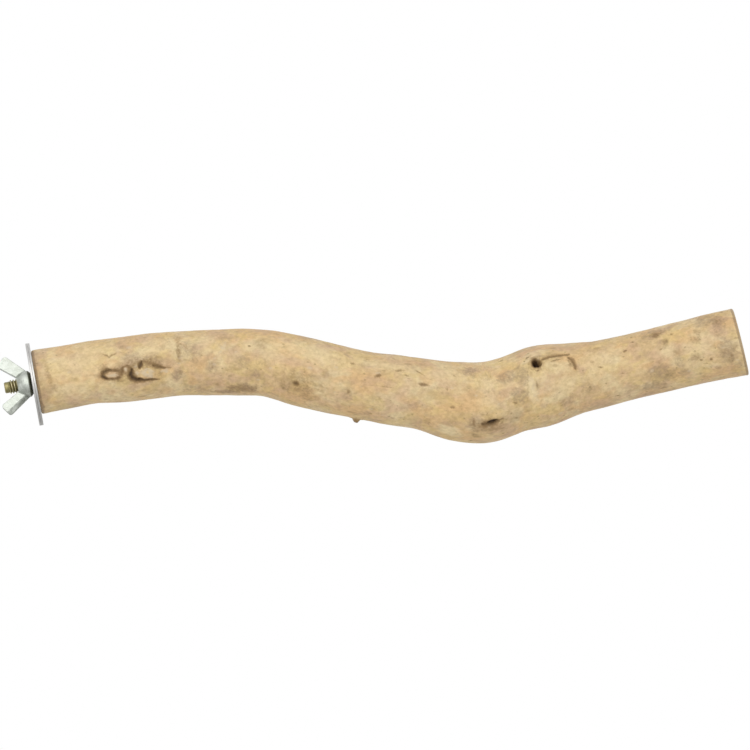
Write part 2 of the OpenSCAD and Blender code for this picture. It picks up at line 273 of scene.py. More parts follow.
def finishBareWood():
    look = bareWoodLook

    def grainPlace(tree):  # millimetres along the grain and across it
        return painted(tree, "woodPlace", "Vector")

    wood = Coat("bareWood", look, grainPlace)
    tree = wood.tree

    def stretched(*shares):
        return vectorSum(tree, "MULTIPLY", wood.place, shares)

    broad = wood.clouds((0, 0, 0), 15.0, 0.38, 0.66, 0.75)
    wood.colour = blendColour(tree, broad, look["tan"], look["cream"])
    for tone, offset, patch, low, high, share in look["tones"]:
        wood.cover(wood.clouds(offset, patch, low, high, 0.75, 2.0), share, tone)
    wood.cover(painted(tree, "lightShare"), 0.75, "light")

    # Fine grain of the weathered skin
    fine = wood.clouds((5, 9, 2), 1.6, 0.35, 0.65, 0.85, 7.0)
    fibres = addNoise(tree, stretched(0.24, 1.0, 1.0), 1.3, 5.0, 0.65, 0.5)
    hairs = addNoise(tree, stretched(0.9, 3.6, 3.6), 1.0, 4.0, 0.6, 0.3)
    tone = addUp(tree, scaled(tree, fine, 0.56), (remap(tree, fibres, 0.3, 0.7), 0.28),
                 (remap(tree, hairs, 0.3, 0.7), 0.16))
    shades = {channel: remap(tree, tone, 0.05, 0.95, *ends) for channel, ends in look["grain"].items()}
    shade = addNode(tree, "ShaderNodeCombineColor", None, shades).outputs[0]
    wood.colour = blendColour(tree, 1.0, wood.colour, shade, "MULTIPLY")

    # Weathering and stains where they are painted, and a little of each everywhere
    freckles = remap(tree, wood.clouds((17, 2, 33), 1.0, 0.4, 0.62, 0.8, 4.0), 0.0, 1.0, 1.0, 0.5)
    for layer, tone, offset, patch, low, high, grain, share in look["stains"]:
        strewn = scaled(tree, wood.clouds(offset, patch, low, high, 0.8, 7.0), 0.55)
        stain = sumUp(tree, "MAXIMUM", painted(tree, layer), strewn)
        wood.cover(scaled(tree, wood.worn(stain, offset[::-1], grain, 1.4, 0.1, 1.1), freckles), share, tone)
    speckHeights = []
    for tone, offset, spacing, size, kept, stretch, share, height in look["specks"]:
        marks = wood.specks(offset, spacing, size, kept, stretch)
        wood.cover(marks, share, tone)
        speckHeights.append((marks, height))

    # Sawn ends: rings round an off-centre pith
    pith = vectorSum(tree, "MULTIPLY", wood.shifted(look["pith"]), (0, 1, 1))
    distance = lengthOf(tree, pith)
    bent = addUp(tree, distance, (addNoise(tree, wood.place, 0.16, 3.0), 3.4))
    ringPlace = addNode(tree, "ShaderNodeCombineXYZ", None, {0: bent}).outputs[0]
    rings = remap(tree, addNoise(tree, ringPlace, 0.75, 4.0, 0.6), 0.38, 0.62)
    sawnColour = blendColour(tree, rings, look["endLight"], look["endDark"])
    heart = remap(tree, distance, 2.6, 0.6, kind="SMOOTHSTEP")
    for mask, share in ((fine, 0.3), (heart, 0.65)):
        sawnColour = blendColour(tree, scaled(tree, mask, share), sawnColour, look["brown"])
    endShare = painted(tree, "endShare")
    wood.colour = blendColour(tree, endShare, wood.colour, sawnColour)

    # Dirty rims, scars, cracks and knots
    for layer, tone, *wear, share in look["edges"]:
        wood.cover(wood.worn(painted(tree, layer), *wear), share, tone)
    dark = painted(tree, "darkShare")
    there = remap(tree, dark, 0.0, 0.06)
    for tone, *wear, share in look["hollows"]:
        wood.cover(scaled(tree, wood.worn(dark, *wear), there), share, tone)

    for title, value in look["surface"].items():
        wood.surface[title].default_value = value
    sawn = addNoise(tree, stretched(1.0, 0.25, 3.0), 0.9, 3.0)
    height = addUp(tree, scaled(tree, fine, 0.45), (fibres, 0.8), (hairs, 0.3), *speckHeights,
                   (scaled(tree, sawn, endShare), 0.8))
    return wood.finish(remap(tree, fine, 0.0, 1.0, *look["roughness"]), height)


# Zinc plate. Clouds are patch, low and high; hollow and ridge are grain, ragged, start, full and share;
# dirt is spacing, share kept and share of the tone; scratches are size, roughness and height
# The hollow mask is painted shade in creases, wing roots and thread roots; the dark tone it takes is shared
# with the dirt specks
washerZincLook = {
    "face": (0.52, 0.52, 0.505), "bloom": (0.64, 0.64, 0.62), "rim": (0.5, 0.49, 0.475),
    "grimeAndShade": (0.1, 0.098, 0.085), "polish": (0.72, 0.72, 0.7), "roughness": (0.26, 0.44), "bump": 0.02 * mm,
    "shift": (0, 0, 0), "clouds": (3.5, 0.36, 0.66), "hollow": (0.8, 0.5, 0.2, 0.9, 0.75),
    "ridge": (0.5, 0.6, 0.35, 0.85, 0.4), "dirt": (1.9, 0.15, 0.3), "scratches": (1.3, 0.1, -0.2),
}
nutZincLook = {
    # On the nut the rim tone is painted shade: near black on the hub's undercut base, next to the washer
    **washerZincLook, "face": (0.37, 0.392, 0.35), "bloom": (0.55, 0.575, 0.53), "rim": (0.09, 0.09, 0.055),
    "grimeAndShade": (0.1, 0.105, 0.08), "polish": (0.72, 0.74, 0.7), "roughness": (0.27, 0.48), "bump": 0.06 * mm,
    "clouds": (2.6, 0.36, 0.66),
}
yellowZincLook = {
    "face": (0.4, 0.34, 0.16), "bloom": (0.29, 0.275, 0.13), "tint": (0.41, 0.3, 0.2),
    "grimeAndShade": (0.17, 0.143, 0.065), "polish": (0.6, 0.55, 0.36), "roughness": (0.3, 0.46), "bump": 0.015 * mm,
    "shift": (9.0, 4.0, 17.0), "clouds": (1.8, 0.36, 0.64), "hollow": (0.5, 0.25, 0.15, 0.85, 0.75),
    "ridge": (0.4, 0.4, 0.35, 0.9, 0.55), "dirt": (1.1, 0.2, 0.35), "scratches": (0.9, 0.0, -0.5),
}


def finishZinc(name, look):
    def millimetres(tree):
        return vectorSum(tree, "SCALE", addNode(tree, "ShaderNodeTexCoord").outputs["Object"], 1 / mm)

    zinc = Coat(name, look, millimetres, metallic=1.0)
    tree, shift, here = zinc.tree, look["shift"], (0, 0, 0)
    clouds = zinc.clouds(here, *look["clouds"])
    zinc.colour = blendColour(tree, clouds, look["face"], look["bloom"])
    rimRough, rimHeight = [], []
    if "tint" in look:  # the passivation's second tone
        zinc.cover(zinc.clouds(shift, 3.1, 0.48, 0.7, detail=3.0), 0.6, "tint")
    if "rim" in look:  # the band that the die has streaked on the washers; on the nut, painted shade at the hub's base next to the washer
        streaks = zinc.clouds(here, 0.5, 0.3, 0.7, 0.25, 4.0)
        rimBandAndShadeShare = painted(tree, "rimBandAndShadeShare")
        zinc.cover(addUp(tree, 1.0, (streaks, -0.25)), rimBandAndShadeShare, "rim")
        rimRough, rimHeight = [(rimBandAndShadeShare, 0.1)], [(scaled(tree, streaks, rimBandAndShadeShare), 0.7)]
    # Painted shade: hollows that the mesh bends into are darkened and roughened
    *wear, share = look["hollow"]
    hollow = zinc.worn(painted(tree, "hollowShadeShare"), here, *wear)
    zinc.cover(hollow, share, "grimeAndShade")
    *wear, share = look["ridge"]
    zinc.cover(zinc.worn(painted(tree, "ridgeShare"), shift, *wear), share, "polish")
    spacing, kept, share = look["dirt"]
    zinc.cover(zinc.specks(shift, spacing, 0.16, kept), share, "grimeAndShade")

    size, lineRough, lineHeight = look["scratches"]
    lines = effect(tree, "scratches", Place=zinc.place, Size=size, Share=0.6)
    rough = remap(tree, clouds, 0.0, 1.0, *look["roughness"])
    return zinc.finish(addUp(tree, rough, (lines, lineRough), *rimRough, (hollow, 0.25)),
                       addUp(tree, clouds, (lines, lineHeight), *rimHeight))


bareWood = finishBareWood()
washerZinc = finishZinc("washerZinc", washerZincLook)
nutZinc = finishZinc("nutZinc", nutZincLook)
yellowZinc = finishZinc("yellowZinc", yellowZincLook)
print("finishes:", ", ".join(m.name for m in (bareWood, washerZinc, nutZinc, yellowZinc)))


# Mesh helpers

def readAll(items, name, width, kind=np.float32):
    values = np.empty(len(items) * width, kind)
    items.foreach_get(name, values)
    return values.reshape(-1, width)


def readPoints(mesh):
    return readAll(mesh.vertices, "co", 3)


def paint(mesh, name, values):
    vector = np.ndim(values) == 2
    layer = mesh.attributes.new(name, "FLOAT_VECTOR" if vector else "FLOAT", "POINT")
    layer.data.foreach_set("vector" if vector else "value", np.ravel(values).astype(np.float32))


def newPiece(name, mesh, material):
    piece = bpy.data.objects.new(name, mesh)
    stage.collection.objects.link(piece)
    mesh.materials.clear()
    mesh.materials.append(material)
    mesh.shade_smooth()
    return piece


def gridFaces(rows, columns):  # rows of points that close on themselves sideways
    row, column = np.meshgrid(np.arange(rows - 1), np.arange(columns), indexing="ij")
    beside = (column + 1) % columns
    places = ((row, column), (row, beside), (row + 1, beside), (row + 1, column))
    return np.stack([(r * columns + c).ravel() for r, c in places], axis=1)


def meshFrom(name, points, faces):
    mesh = bpy.data.meshes.new(name)
    mesh.from_pydata(points.tolist(), [], faces.tolist())
    return mesh


def sealMesh(mesh, *others, gap=2e-7):  # joins the others in, welds what meets and turns every face outwards
    shape = bmesh.new()
    for part in (mesh, *others):
        shape.from_mesh(part)
    bmesh.ops.remove_doubles(shape, verts=shape.verts, dist=gap)
    bmesh.ops.recalc_face_normals(shape, faces=shape.faces)
    shape.to_mesh(mesh)
    shape.free()
    for part in others:
        bpy.data.meshes.remove(part)
    return mesh


def lathe(name, outline, steps):  # outline points are (place along X, radius), in millimetres
    turns = np.arange(steps) / steps * 2 * math.pi
    x, radius = (np.array(outline) * mm).T[:, :, None]
    rings = np.stack([x + 0 * turns, radius * np.cos(turns), radius * np.sin(turns)], axis=2)
    return meshFrom(name, rings.reshape(-1, 3), gridFaces(len(outline), steps))


def paintBends(mesh, sharpness, rounds):  # ridges and hollows where the mesh bends, as shares of sharpness
    points = readPoints(mesh).astype(float)
    normals = readAll(mesh.vertex_normals, "vector", 3)
    near, far = readAll(mesh.edges, "vertices", 2, np.int32).T
    offset = points[far] - points[near]
    length = np.maximum((offset ** 2).sum(1), 1e-14)
    bend, count = np.zeros(len(points)), np.zeros(len(points))
    for here, sign in ((near, 1), (far, -1)):
        np.add.at(bend, here, -2 * sign * (offset * normals[here]).sum(1) / length)
        np.add.at(count, here, 1)
    count = np.maximum(count, 1)
    bend /= count
    for _ in range(rounds):
        total = np.zeros(len(points))
        np.add.at(total, near, bend[far])
        np.add.at(total, far, bend[near])
        bend = (bend + total / count) / 2
    paint(mesh, "ridgeShare", np.clip(bend / sharpness, 0, 1))
    # the hollows are darkened as painted shade in the zinc finishes
    paint(mesh, "hollowShadeShare", np.clip(-bend / sharpness, 0, 1))


# The photograph's view: it is rolled, and its sight line at the washers is square to the stud

view = {  # pixels, metres and degrees
    "pixels": 750, "originPixel": (34.35, 382.9), "metresPerPixel": 0.000458, "roll": 10.0, "distance": 4.0,
    "sensor": 36.0,
}


def sightFrame():  # camera place, what it aims at, and its sideways, upward and forward directions
    roll = math.radians(view["roll"])
    half = view["pixels"] / 2
    right = (half - view["originPixel"][0]) * view["metresPerPixel"]
    above = (view["originPixel"][1] - half) * view["metresPerPixel"]
    target = Vector((right * math.cos(roll) + above * math.sin(roll), 0,
                     above * math.cos(roll) - right * math.sin(roll)))
    place = Vector((0, -view["distance"], target.z))
    forward = (target - place).normalized()
    level = forward.cross(Vector((0, 0, 1))).normalized()
    upright = level.cross(forward)
    sideways = level * math.cos(roll) - upright * math.sin(roll)
    return place, target, sideways, level * math.sin(roll) + upright * math.cos(roll), forward


def toPixels(points):  # where points in millimetres lie in the photograph
    place, target, sideways, upward, forward = (np.array(v) for v in sightFrame())
    offset = points * mm - place
    scale = np.linalg.norm(target - place) / view["metresPerPixel"] / (offset @ forward)
    half = view["pixels"] / 2
    return np.stack([half + offset @ sideways * scale, half - offset @ upward * scale], axis=-1)


# Branch

branchShape = {  # millimetres and degrees
    "reach": 321, "endDiameter": 28.85, "drop": 37.3, "sway": 4, "smoothing": 2.0, "squareRun": 6,
    "rounding": 0.9, "cutLean": 3.3, "cutTurn": 3, "cutReach": 0.5, "leanRun": 22, "ovalShare": 0.015,
    "ovalTurns": 1.5, "boreRadius": 3.325, "boreDepth": 11, "boreMouth": 0.3, "pilotRadius": 2.1,
    "pilotDepth": 37, "pilotTip": 1.2, "reliefAtEnds": 0.25, "reliefRun": 2.5, "faceReach": 13.0,
    "rings": 610, "rounds": 148, "farRings": 25, "nearRings": 16,
    "waves": [(0.3, 22, 0.6), (0.14, 6, 0.6), (0.05, 1.8, 0.5)],  # rise, size, stretch along the grain
    # Where the rings and the points round them lie closer: middle, reach, gain
    "ringFocus": [(0, 0.004, 3), (0.107, 0.02, 0.9), (0.155, 0.03, 1.1), (0.455, 0.008, 1.6),
                  (0.626, 0.016, 1.2), (0.712, 0.012, 2.2), (0.745, 0.02, 0.7), (1, 0.004, 3)],
    "roundFocus": [(90, 55, 0.7), (56, 12, 0.5)],
    # Drop, sway and diameter at even steps of the reach, as shares of the sizes above
    "course": [
        (0, 0, 1), (0, 0, 0.98), (0, 0.1, 0.98), (0.03, 0.25, 1.02), (0.05, 0.45, 1.03),
        (0.08, 0.6, 1.02), (0.13, 0.5, 1.04), (0.19, 0.25, 1.07), (0.27, -0.1, 1.07), (0.43, -0.5, 1.12),
        (0.59, -0.8, 1.11), (0.73, -1, 1.08), (0.85, -0.9, 1.12), (0.97, -0.6, 1.13), (1.12, -0.2, 1.24),
        (1.2, 0.3, 1.28), (1.16, 0.6, 1.21), (1.12, 0.8, 1.28), (1.1, 0.9, 1.15), (1.1, 0.9, 1.06),
        (1.08, 0.8, 1.03), (1.06, 0.7, 1.04), (1.04, 0.6, 1.06), (1.02, 0.5, 1.09), (1.01, 0.5, 1.11),
    ],
    # Swellings: share of the reach, angle from the top towards the front, rise, spread
    "swellings": [(0.712, 56, 1.6, 10.4), (0.626, 122, 0.96, 8.7), (0.375, 112, 0.48, 7.25),
                  (0.159, 99, 0.48, 8.7)],
}

branchLayers = ("dark", "pale", "grey", "brown", "olive", "light")

# Marks on the wood. A place is a pixel of the photograph, or, where the photograph doesn't show it,
# (share of the reach, angle from the top towards the front). Sizes are millimetres along and round.
branchMarks = {
    # Grooves: dark share, depth, then a place and a half width at each bend
    "grooves": [
        (0.7, 0.3, [(102.6, 375, 0.5), (104, 372.2, 0.9), (106.4, 370.6, 0.9), (111, 370, 0.4)]),
        (0.5, 0.2, [(121.4, 374.4, 0.6), (122.4, 371, 0.8), (122.8, 367.6, 0.5)]),
        (0.45, 0.3, [(127.3, 365.6, 0.5), (130, 367.2, 0.7), (132.4, 369.2, 0.7)]),
        (0.9, 0.8, [(131.8, 369.2, 0.6), (131.2, 372.2, 1.0), (131.4, 375.4, 1.2), (133, 378, 1.2),
                    (136.4, 379.6, 1.15), (140.4, 380, 0.9)]),
        (0.8, 0.5, [(140.4, 380, 0.85), (145, 380, 0.6), (151.5, 379.6, 0.4), (159.5, 379, 0.2)]),
        (0.85, 0.6, [(141.6, 361.6, 0.5), (140.6, 364.4, 1.0), (139.6, 367, 0.6)]),
        (0.35, 0.25, [(142.5, 361.6, 0.7), (147, 362, 0.9), (151.5, 363.8, 0.9), (155, 365.6, 0.9)]),
        (0.65, 0.35, [(153.4, 365.2, 0.5), (156.6, 366.2, 0.95), (160.5, 367, 0.8), (164.5, 367.6, 0.4)]),
        (0.35, 0.1, [(164.5, 367.6, 0.35), (171.5, 367.4, 0.2)]),
        (0.2, 0.08, [(47, 367, 1.1), (49, 377, 1.2), (53.5, 387, 1.3)]),
        (0.34, 0.2, [(102.5, 353.8, 0.25), (107, 355.2, 0.3), (109, 357.2, 0.3), (112.8, 354.4, 0.3),
                    (116.3, 352.5, 0.2)]),
        (0.2, 0.05, [(177.5, 337, 1.2), (178.3, 348, 1.3), (178.6, 357, 1.1), (178.6, 362, 0.7)]),
        (0.14, 0.06, [(180.5, 344, 0.4), (185.5, 347.5, 0.5), (191, 352.5, 0.35)]),
        (0.5, 0.5, [(543, 359.6, 0.5), (547.9, 357, 0.55), (556.4, 355.6, 0.6), (564, 354.9, 0.5),
                     (568.8, 354.6, 0.4)]),
        (0.4, 0.15, [(551.6, 361.4, 0.25), (556, 360, 0.35), (560.5, 359.3, 0.2)]),
        (0.5, 0.45, [(568.6, 357.6, 0.5), (572, 360, 0.85), (574.4, 364.3, 0.8), (575.8, 368.6, 0.4)]),
        (0.3, 0.15, [(568.5, 361, 0.6), (571, 366, 0.7)]),
        (0.66, 0.9, [(483.8, 424.6, 0.8), (487.2, 424, 1.35), (491.4, 423, 1.45), (495.4, 422, 1.0),
                     (499, 420.6, 0.4)]),
        (1.1, 1.2, [(488.2, 423.2, 0.4), (491.6, 422.2, 1.0), (494.6, 421.5, 0.9), (497, 420.9, 0.3)]),
        (0.4, 0.2, [(498.2, 420.4, 0.4), (502.5, 419, 0.3)]),
        (0.35, 0.1, [(486.6, 415, 0.25), (488.2, 411.6, 0.2)]),
        (0.16, 0.1, [(527.8, 367, 0.3), (528.3, 386, 0.35), (528.4, 404, 0.25)]),
        (0.55, 0.35, [(0.80, 236, 0.2), (0.82, 235, 0.35), (0.84, 237, 0.3), (0.86, 236, 0.15)]),
        (0.5, 0.3, [(0.31, 300, 0.2), (0.33, 298.5, 0.3), (0.355, 301, 0.15)]),
    ],
    "grooveForm": {"waver": 0.3, "cutFall": 0.9, "bankRise": 0.25, "bank": (2.1, 0.8),
                   "stains": [("dark", 1, 0.5), ("brown", 0.6, 0.16)]},  # layer, share, fall
    # Patches by layer: place, strength, half length, half width, then a tilt where there is one
    "patches": {
        "dark": [
            (44, 406.5, 0.5, 0.4, 1.9), (137, 366.5, 0.22, 2.6, 3), (152, 363.4, 0.16, 6.5, 1.7, 8),
            (150.4, 359.4, 0.4, 0.6, 0.6), (143.7, 358.9, 0.3, 0.6, 0.5), (148, 375.8, 0.22, 0.9, 0.5),
            (158.5, 373.6, 0.22, 1.6, 0.5, -8), (104.5, 370, 0.2, 1.7, 2.6),
            (202.3, 355.7, 0.35, 0.6, 0.6), (212.3, 367.3, 0.4, 0.6, 0.5), (243, 389, 0.18, 6.8, 2.2, 3),
            (243, 386.2, 0.15, 3.4, 1.5), (295.8, 383.5, 0.8, 1.7, 1.3), (348.6, 391.4, 0.4, 0.8, 1.3),
            (352.9, 363.6, 0.42, 1.2, 0.8), (367.1, 359.3, 0.3, 1.1, 0.5),
            (377.9, 375.7, 0.5, 1.5, 1, -20), (399.3, 370.3, 0.4, 2.3, 0.7, -10),
            (385, 370.7, 0.25, 1.6, 0.45), (386, 386.8, 0.25, 4, 0.4), (419.5, 372.5, 0.42, 2.6, 0.4, 32),
            (423.2, 384.6, 0.52, 2.4, 0.85), (445, 367.1, 0.42, 1.1, 0.5), (447.1, 388.6, 0.42, 0.5, 0.9),
            (396.4, 409, 0.2, 0.35, 1.8), (473.6, 423, 0.4, 0.5, 2.2), (370.7, 413.6, 0.35, 0.9, 0.8),
            (515.5, 369, 0.3, 0.8, 0.5), (509, 378, 0.3, 0.6, 0.6), (537.2, 385, 0.34, 0.8, 2.2),
            (538.1, 370.9, 0.5, 0.9, 0.5), (546.8, 370, 0.3, 0.5, 0.4), (492, 424.5, 0.22, 4.6, 2.1, -16),
            (592, 362, 0.3, 0.8, 0.5), (655.5, 335, 0.42, 2.2, 2.1), (711.4, 359.3, 0.45, 0.7, 0.7),
            (0.425, 246, 0.6, 1.2, 0.9), (0.245, 318, 0.45, 2, 0.6), (0.63, 216, 0.5, 1.4, 1),
        ],
        "pale": [
            (112.8, 375.4, 0.75, 2.8, 0.85), (136.3, 366.6, 0.8, 1.4, 0.7), (125.4, 369.2, 0.9, 0.9, 1),
            (179, 363.5, 0.7, 1.7, 0.5, 8), (165.5, 371, 0.6, 3.4, 1.3, -4), (223, 347, 0.5, 3, 3.2),
            (325, 388.6, 0.55, 1, 0.7), (335, 392.5, 0.5, 1.3, 0.7), (534, 388, 0.5, 2.4, 7),
            (545, 383, 0.35, 4.5, 5.5), (0.5, 255, 0.5, 8, 4),
        ],
        "grey": [
            (123.5, 370.5, 1.0, 4, 3.2, -25), (134, 359, 0.95, 4.6, 4.6), (150, 360, 1.1, 8.5, 3.4, 4),
            (131, 358.5, 0.9, 5, 4, -20), (95, 394, 0.35, 2.4, 2.2), (58, 404, 0.35, 8, 2.2),
            (191, 352, 0.9, 6, 6), (196, 387, 0.8, 8, 3.6), (243, 361, 1.0, 4.4, 3.4),
            (255, 374, 1.0, 3.4, 3), (225, 337, 0.5, 7, 3), (178.6, 374.4, 1.5, 3.4, 2.4),
            (180.5, 353, 1.0, 2.2, 4.6), (185, 347, 0.8, 2.4, 2.6), (180, 386, 0.45, 2, 2),
            (211.5, 367, 1.1, 2.8, 3.2), (208, 357, 0.6, 3.2, 3), (265, 385, 0.6, 3.2, 3),
            (260, 377, 0.65, 3.4, 3), (243, 388.4, 1.2, 7.2, 2.8, 3), (243, 385.4, 1.3, 3.8, 1.7),
            (226, 391.2, 1.0, 8, 1.6), (302, 390, 0.4, 9, 6), (349, 394, 0.7, 2.6, 6),
            (347, 355, 0.7, 2, 2.4), (346.5, 390.5, 0.6, 2.8, 1.2), (342, 404, 0.5, 4, 3.4),
            (470, 371.5, 1.4, 3.4, 3.8, 15), (506, 376.5, 1.4, 4.6, 3), (521.5, 374, 1.4, 3, 4.8),
            (519.5, 396, 1.5, 4.2, 3.4), (477, 425, 1.2, 4.4, 4.6), (414, 405, 0.6, 6, 4),
            (588, 388, 0.8, 4.4, 3), (653, 334, 1.5, 5.4, 3.4), (662, 343, 0.7, 2.8, 3),
            (705, 321, 1.1, 6, 4), (719, 322, 1.3, 3.6, 6), (728, 350, 1.4, 4.4, 6),
            (696, 356.5, 0.7, 4, 2), (679, 362, 0.8, 3.4, 4, -50), (662, 374, 0.9, 7, 5),
            (652, 386, 1.2, 6, 3.4), (590, 405, 0.4, 6, 3.8), (700, 319, 1.1, 2.6, 2),
            (710, 316.5, 1.3, 3, 2), (727.5, 345.5, 1.4, 2.6, 3.4), (724.5, 354, 1.3, 3.2, 2.4),
            (684, 372.5, 1.1, 3.4, 1.8), (652.5, 372.5, 1.2, 2.6, 3), (665, 369, 0.8, 3, 2.2),
            (0.2, 262, 0.8, 9, 6, 10), (0.56, 292, 0.8, 9, 5), (0.9, 285, 0.9, 9, 6),
        ],
        "brown": [
            (57, 367, 0.3, 3, 2.4), (49.5, 378, 0.6, 1.3, 3.4), (122.5, 368.6, 0.9, 2.6, 2, -20),
            (135, 363, 0.8, 4.6, 2.4), (151, 364.5, 0.9, 7.4, 3, 8), (131, 370, 0.9, 3, 4.6),
            (145, 369, 0.7, 1, 0.8), (150, 372.5, 0.7, 0.8, 1.1), (162, 374, 0.6, 2.2, 3.6),
            (104.5, 368.5, 1.0, 2.6, 3), (121, 366, 1.0, 3.4, 2.4, -25), (119, 380, 0.7, 3.4, 1.6),
            (129.5, 362, 0.8, 3.4, 2.2), (161, 384, 0.6, 2.6, 1.6), (262, 343, 0.7, 3.2, 5, 20),
            (134, 375, 0.2, 3, 2.6), (146, 381.5, 0.6, 7, 1.4), (161.5, 376, 0.5, 4, 1.8),
            (146, 384.2, 0.35, 6, 1), (178.4, 352, 1.1, 1.1, 4.6), (180.5, 372, 0.8, 2, 1.2),
            (229, 369, 0.65, 3.6, 2.8), (243, 389, 1.5, 7.8, 3, 3), (224, 391.6, 1.3, 8, 1.5),
            (235, 369, 0.8, 2, 1.4, 30), (216, 391.8, 0.7, 3.5, 1.2), (297, 383, 1.2, 8.4, 6),
            (295.5, 378.5, 1.2, 1.5, 3), (291, 375.6, 1.2, 1.6, 1.2), (283.5, 386.4, 1.1, 2.2, 2),
            (305, 393.5, 1.0, 4, 2, 20), (313.5, 379, 1.0, 2.2, 2), (310, 382, 0.8, 5, 5),
            (309, 397, 0.8, 5.6, 3), (325, 373, 0.7, 2.6, 2.4), (321, 386, 0.75, 3.4, 3.2),
            (324, 374, 0.55, 1.9, 0.8), (363, 365, 0.5, 3.4, 2.4), (378, 398, 0.55, 3, 2),
            (426.4, 421, 0.6, 2.3, 2), (475, 434, 0.75, 2.5, 2.8), (542, 366, 0.6, 1.5, 1.4),
            (538.6, 357.6, 1.0, 2.6, 1.6), (592.9, 362.9, 0.5, 1.2, 1), (494, 428, 1.2, 4.6, 2.8),
            (502.5, 418.5, 0.8, 1, 0.8), (506.5, 419.3, 0.7, 0.9, 0.8), (482, 427, 1.0, 4.4, 3.4),
            (489, 416, 0.8, 4, 2), (589, 351, 0.45, 4, 1.4), (567, 402, 0.7, 4.6, 3.4),
            (634, 346, 0.55, 5, 1.8), (697, 340, 0.9, 2.2, 2.6), (718, 334, 0.7, 2, 1.6),
            (736, 346, 0.8, 2.2, 2), (665, 385, 0.55, 4.4, 1.4), (706, 377, 0.4, 3, 1.6),
            (655, 335.5, 1.2, 2.6, 1.7), (664.5, 342, 0.9, 2, 2.6, 25), (718, 321, 0.8, 3, 2.6),
            (697, 332, 1.0, 2.4, 1.8), (693.8, 339, 1.1, 2.2, 1.8), (730, 360, 0.9, 2.4, 1.6),
            (696, 357.5, 1.1, 2.4, 1.4), (677.5, 352.5, 0.9, 3, 1.6), (714, 346, 0.5, 2.2, 1.4),
            (0.42, 244, 0.7, 6, 4, -10), (0.73, 262, 0.6, 8, 5),
        ],
        "olive": [
            (54, 388, 0.6, 1.3, 1.7), (160.4, 374.4, 0.9, 1.6, 1.1), (163, 347, 0.5, 3, 2),
            (263, 363, 0.55, 4.4, 2.4), (230, 376.2, 0.8, 1.3, 0.9), (284, 386.5, 0.7, 1.9, 1.8),
            (304.5, 388.5, 0.6, 2.6, 2), (469.3, 387.9, 0.75, 1.3, 1.4), (506, 383, 0.5, 2, 1.4),
            (590.7, 387.1, 0.9, 0.9, 0.9), (476, 436.5, 0.8, 2.2, 2), (549, 405, 0.45, 2.8, 1.8),
            (591.4, 388, 0.6, 1, 1), (665.8, 343, 0.8, 1.4, 2, 20), (608, 397, 0.6, 2, 1.2),
            (670, 375.5, 0.7, 3.4, 2.6), (0.35, 215, 0.6, 6, 3),
        ],
        "light": [
            # The first patch, low on the near end, is painted light where the lamp leaves the wood darker;
            # the rest are paler wood
            (74, 389, 0.7, 11, 3.6), (168, 379, 0.5, 3, 2.4), (76, 366, 0.7, 13, 8), (90, 352, 0.6, 9, 4),
            (104, 385, 0.6, 3.6, 3), (152, 349, 0.5, 9, 3.4), (205, 340, 0.7, 5, 3.6),
            (310, 352, 0.75, 19, 5, 4), (272, 350, 0.6, 6, 6), (395, 366, 0.5, 22, 3, 2),
            (445, 375, 0.6, 12, 4.4), (487, 385, 0.8, 8, 5), (490, 401, 0.6, 6, 3.4),
            (556, 367, 1.0, 7, 3.6), (533, 393, 1.0, 2.8, 6.4), (560, 384, 0.6, 9, 4),
            (600, 362, 0.5, 9, 5), (580, 379, 0.5, 4, 2.6), (700, 349, 0.7, 6, 4.4), (426, 399, 0.7, 4, 3),
            (545, 378, 0.6, 2.8, 3), (622, 391, 0.7, 4.4, 2.8), (713, 351, 0.5, 3.2, 2.6),
            (668, 351, 0.9, 4, 3), (688, 347, 0.6, 3.4, 2.6), (676, 361, 0.8, 3, 2.4),
        ],
    },
    # Healed scars with a raised lip: place, half length and width, groove depth, dark share
    "scars": [((112.2, 374.8), (4.2, 2.05), 0.4, 0.7), ((125.6, 369.8), (1.5, 1.7), 0.15, 0.34),
              ((0.69, 284), (5.4, 2), 0.35, 0.5)],
    "scarForm": {"waver": 0.14, "rim": (1, 0.33), "lip": (1.6, 0.35), "lipRise": 0.25, "halo": (1.0, 2.2)},
    # Pale lumps: place, half length and width, rise
    "lumps": [((146.8, 373.4), (4.6, 2.7), 0.5), ((137, 374.2), (1.9, 1.9), 0.4)],
    "hole": {"place": (537.4, 362.4), "half": (2.6, 2.45), "depth": 4.6, "waver": 0.14, "mouth": (0.5, 1.05),
             "farWall": (-0.3, 1.7), "wallRise": 0.45, "lip": (1.3, 0.3), "lipRise": 0.3},
    "twig": {"place": (0.4565, 172), "radius": 1.9, "stand": 2.1, "foot": (0.3, 1.1), "collar": (1.2, 0.45),
             "collarRise": 0.3},
    "strays": {"count": 260, "seed": 11, "longest": 1.7, "widest": 0.8, "strength": 0.55, "crowding": 0.4},
}


def courseValue(column, shares):  # smooth run through the course's rows
    table = np.array(branchShape["course"], float)[:, column]
    last = len(table) - 1
    at = np.clip(shares, 0, 1) * last
    row = np.minimum(at.astype(int), last - 1)
    u = at - row
    a, b, c, d = (table[np.clip(row + k, 0, last)] for k in (-1, 0, 1, 2))
    return b + 0.5 * u * (c - a + u * (2 * a - 5 * b + 4 * c - d + u * (3 * (b - c) + d - a)))


def smoothCourse(column, shares):
    dense = np.linspace(-0.1, 1.1, 2881)
    values = courseValue(column, dense)
    spacing = (dense[1] - dense[0]) * branchShape["reach"]
    reach = int(3 * branchShape["smoothing"] / spacing)
    kernel = np.exp(-0.5 * (np.arange(-reach, reach + 1) * spacing / branchShape["smoothing"]) ** 2)
    return np.interp(shares, dense, np.convolve(values, kernel / kernel.sum(), "same"))


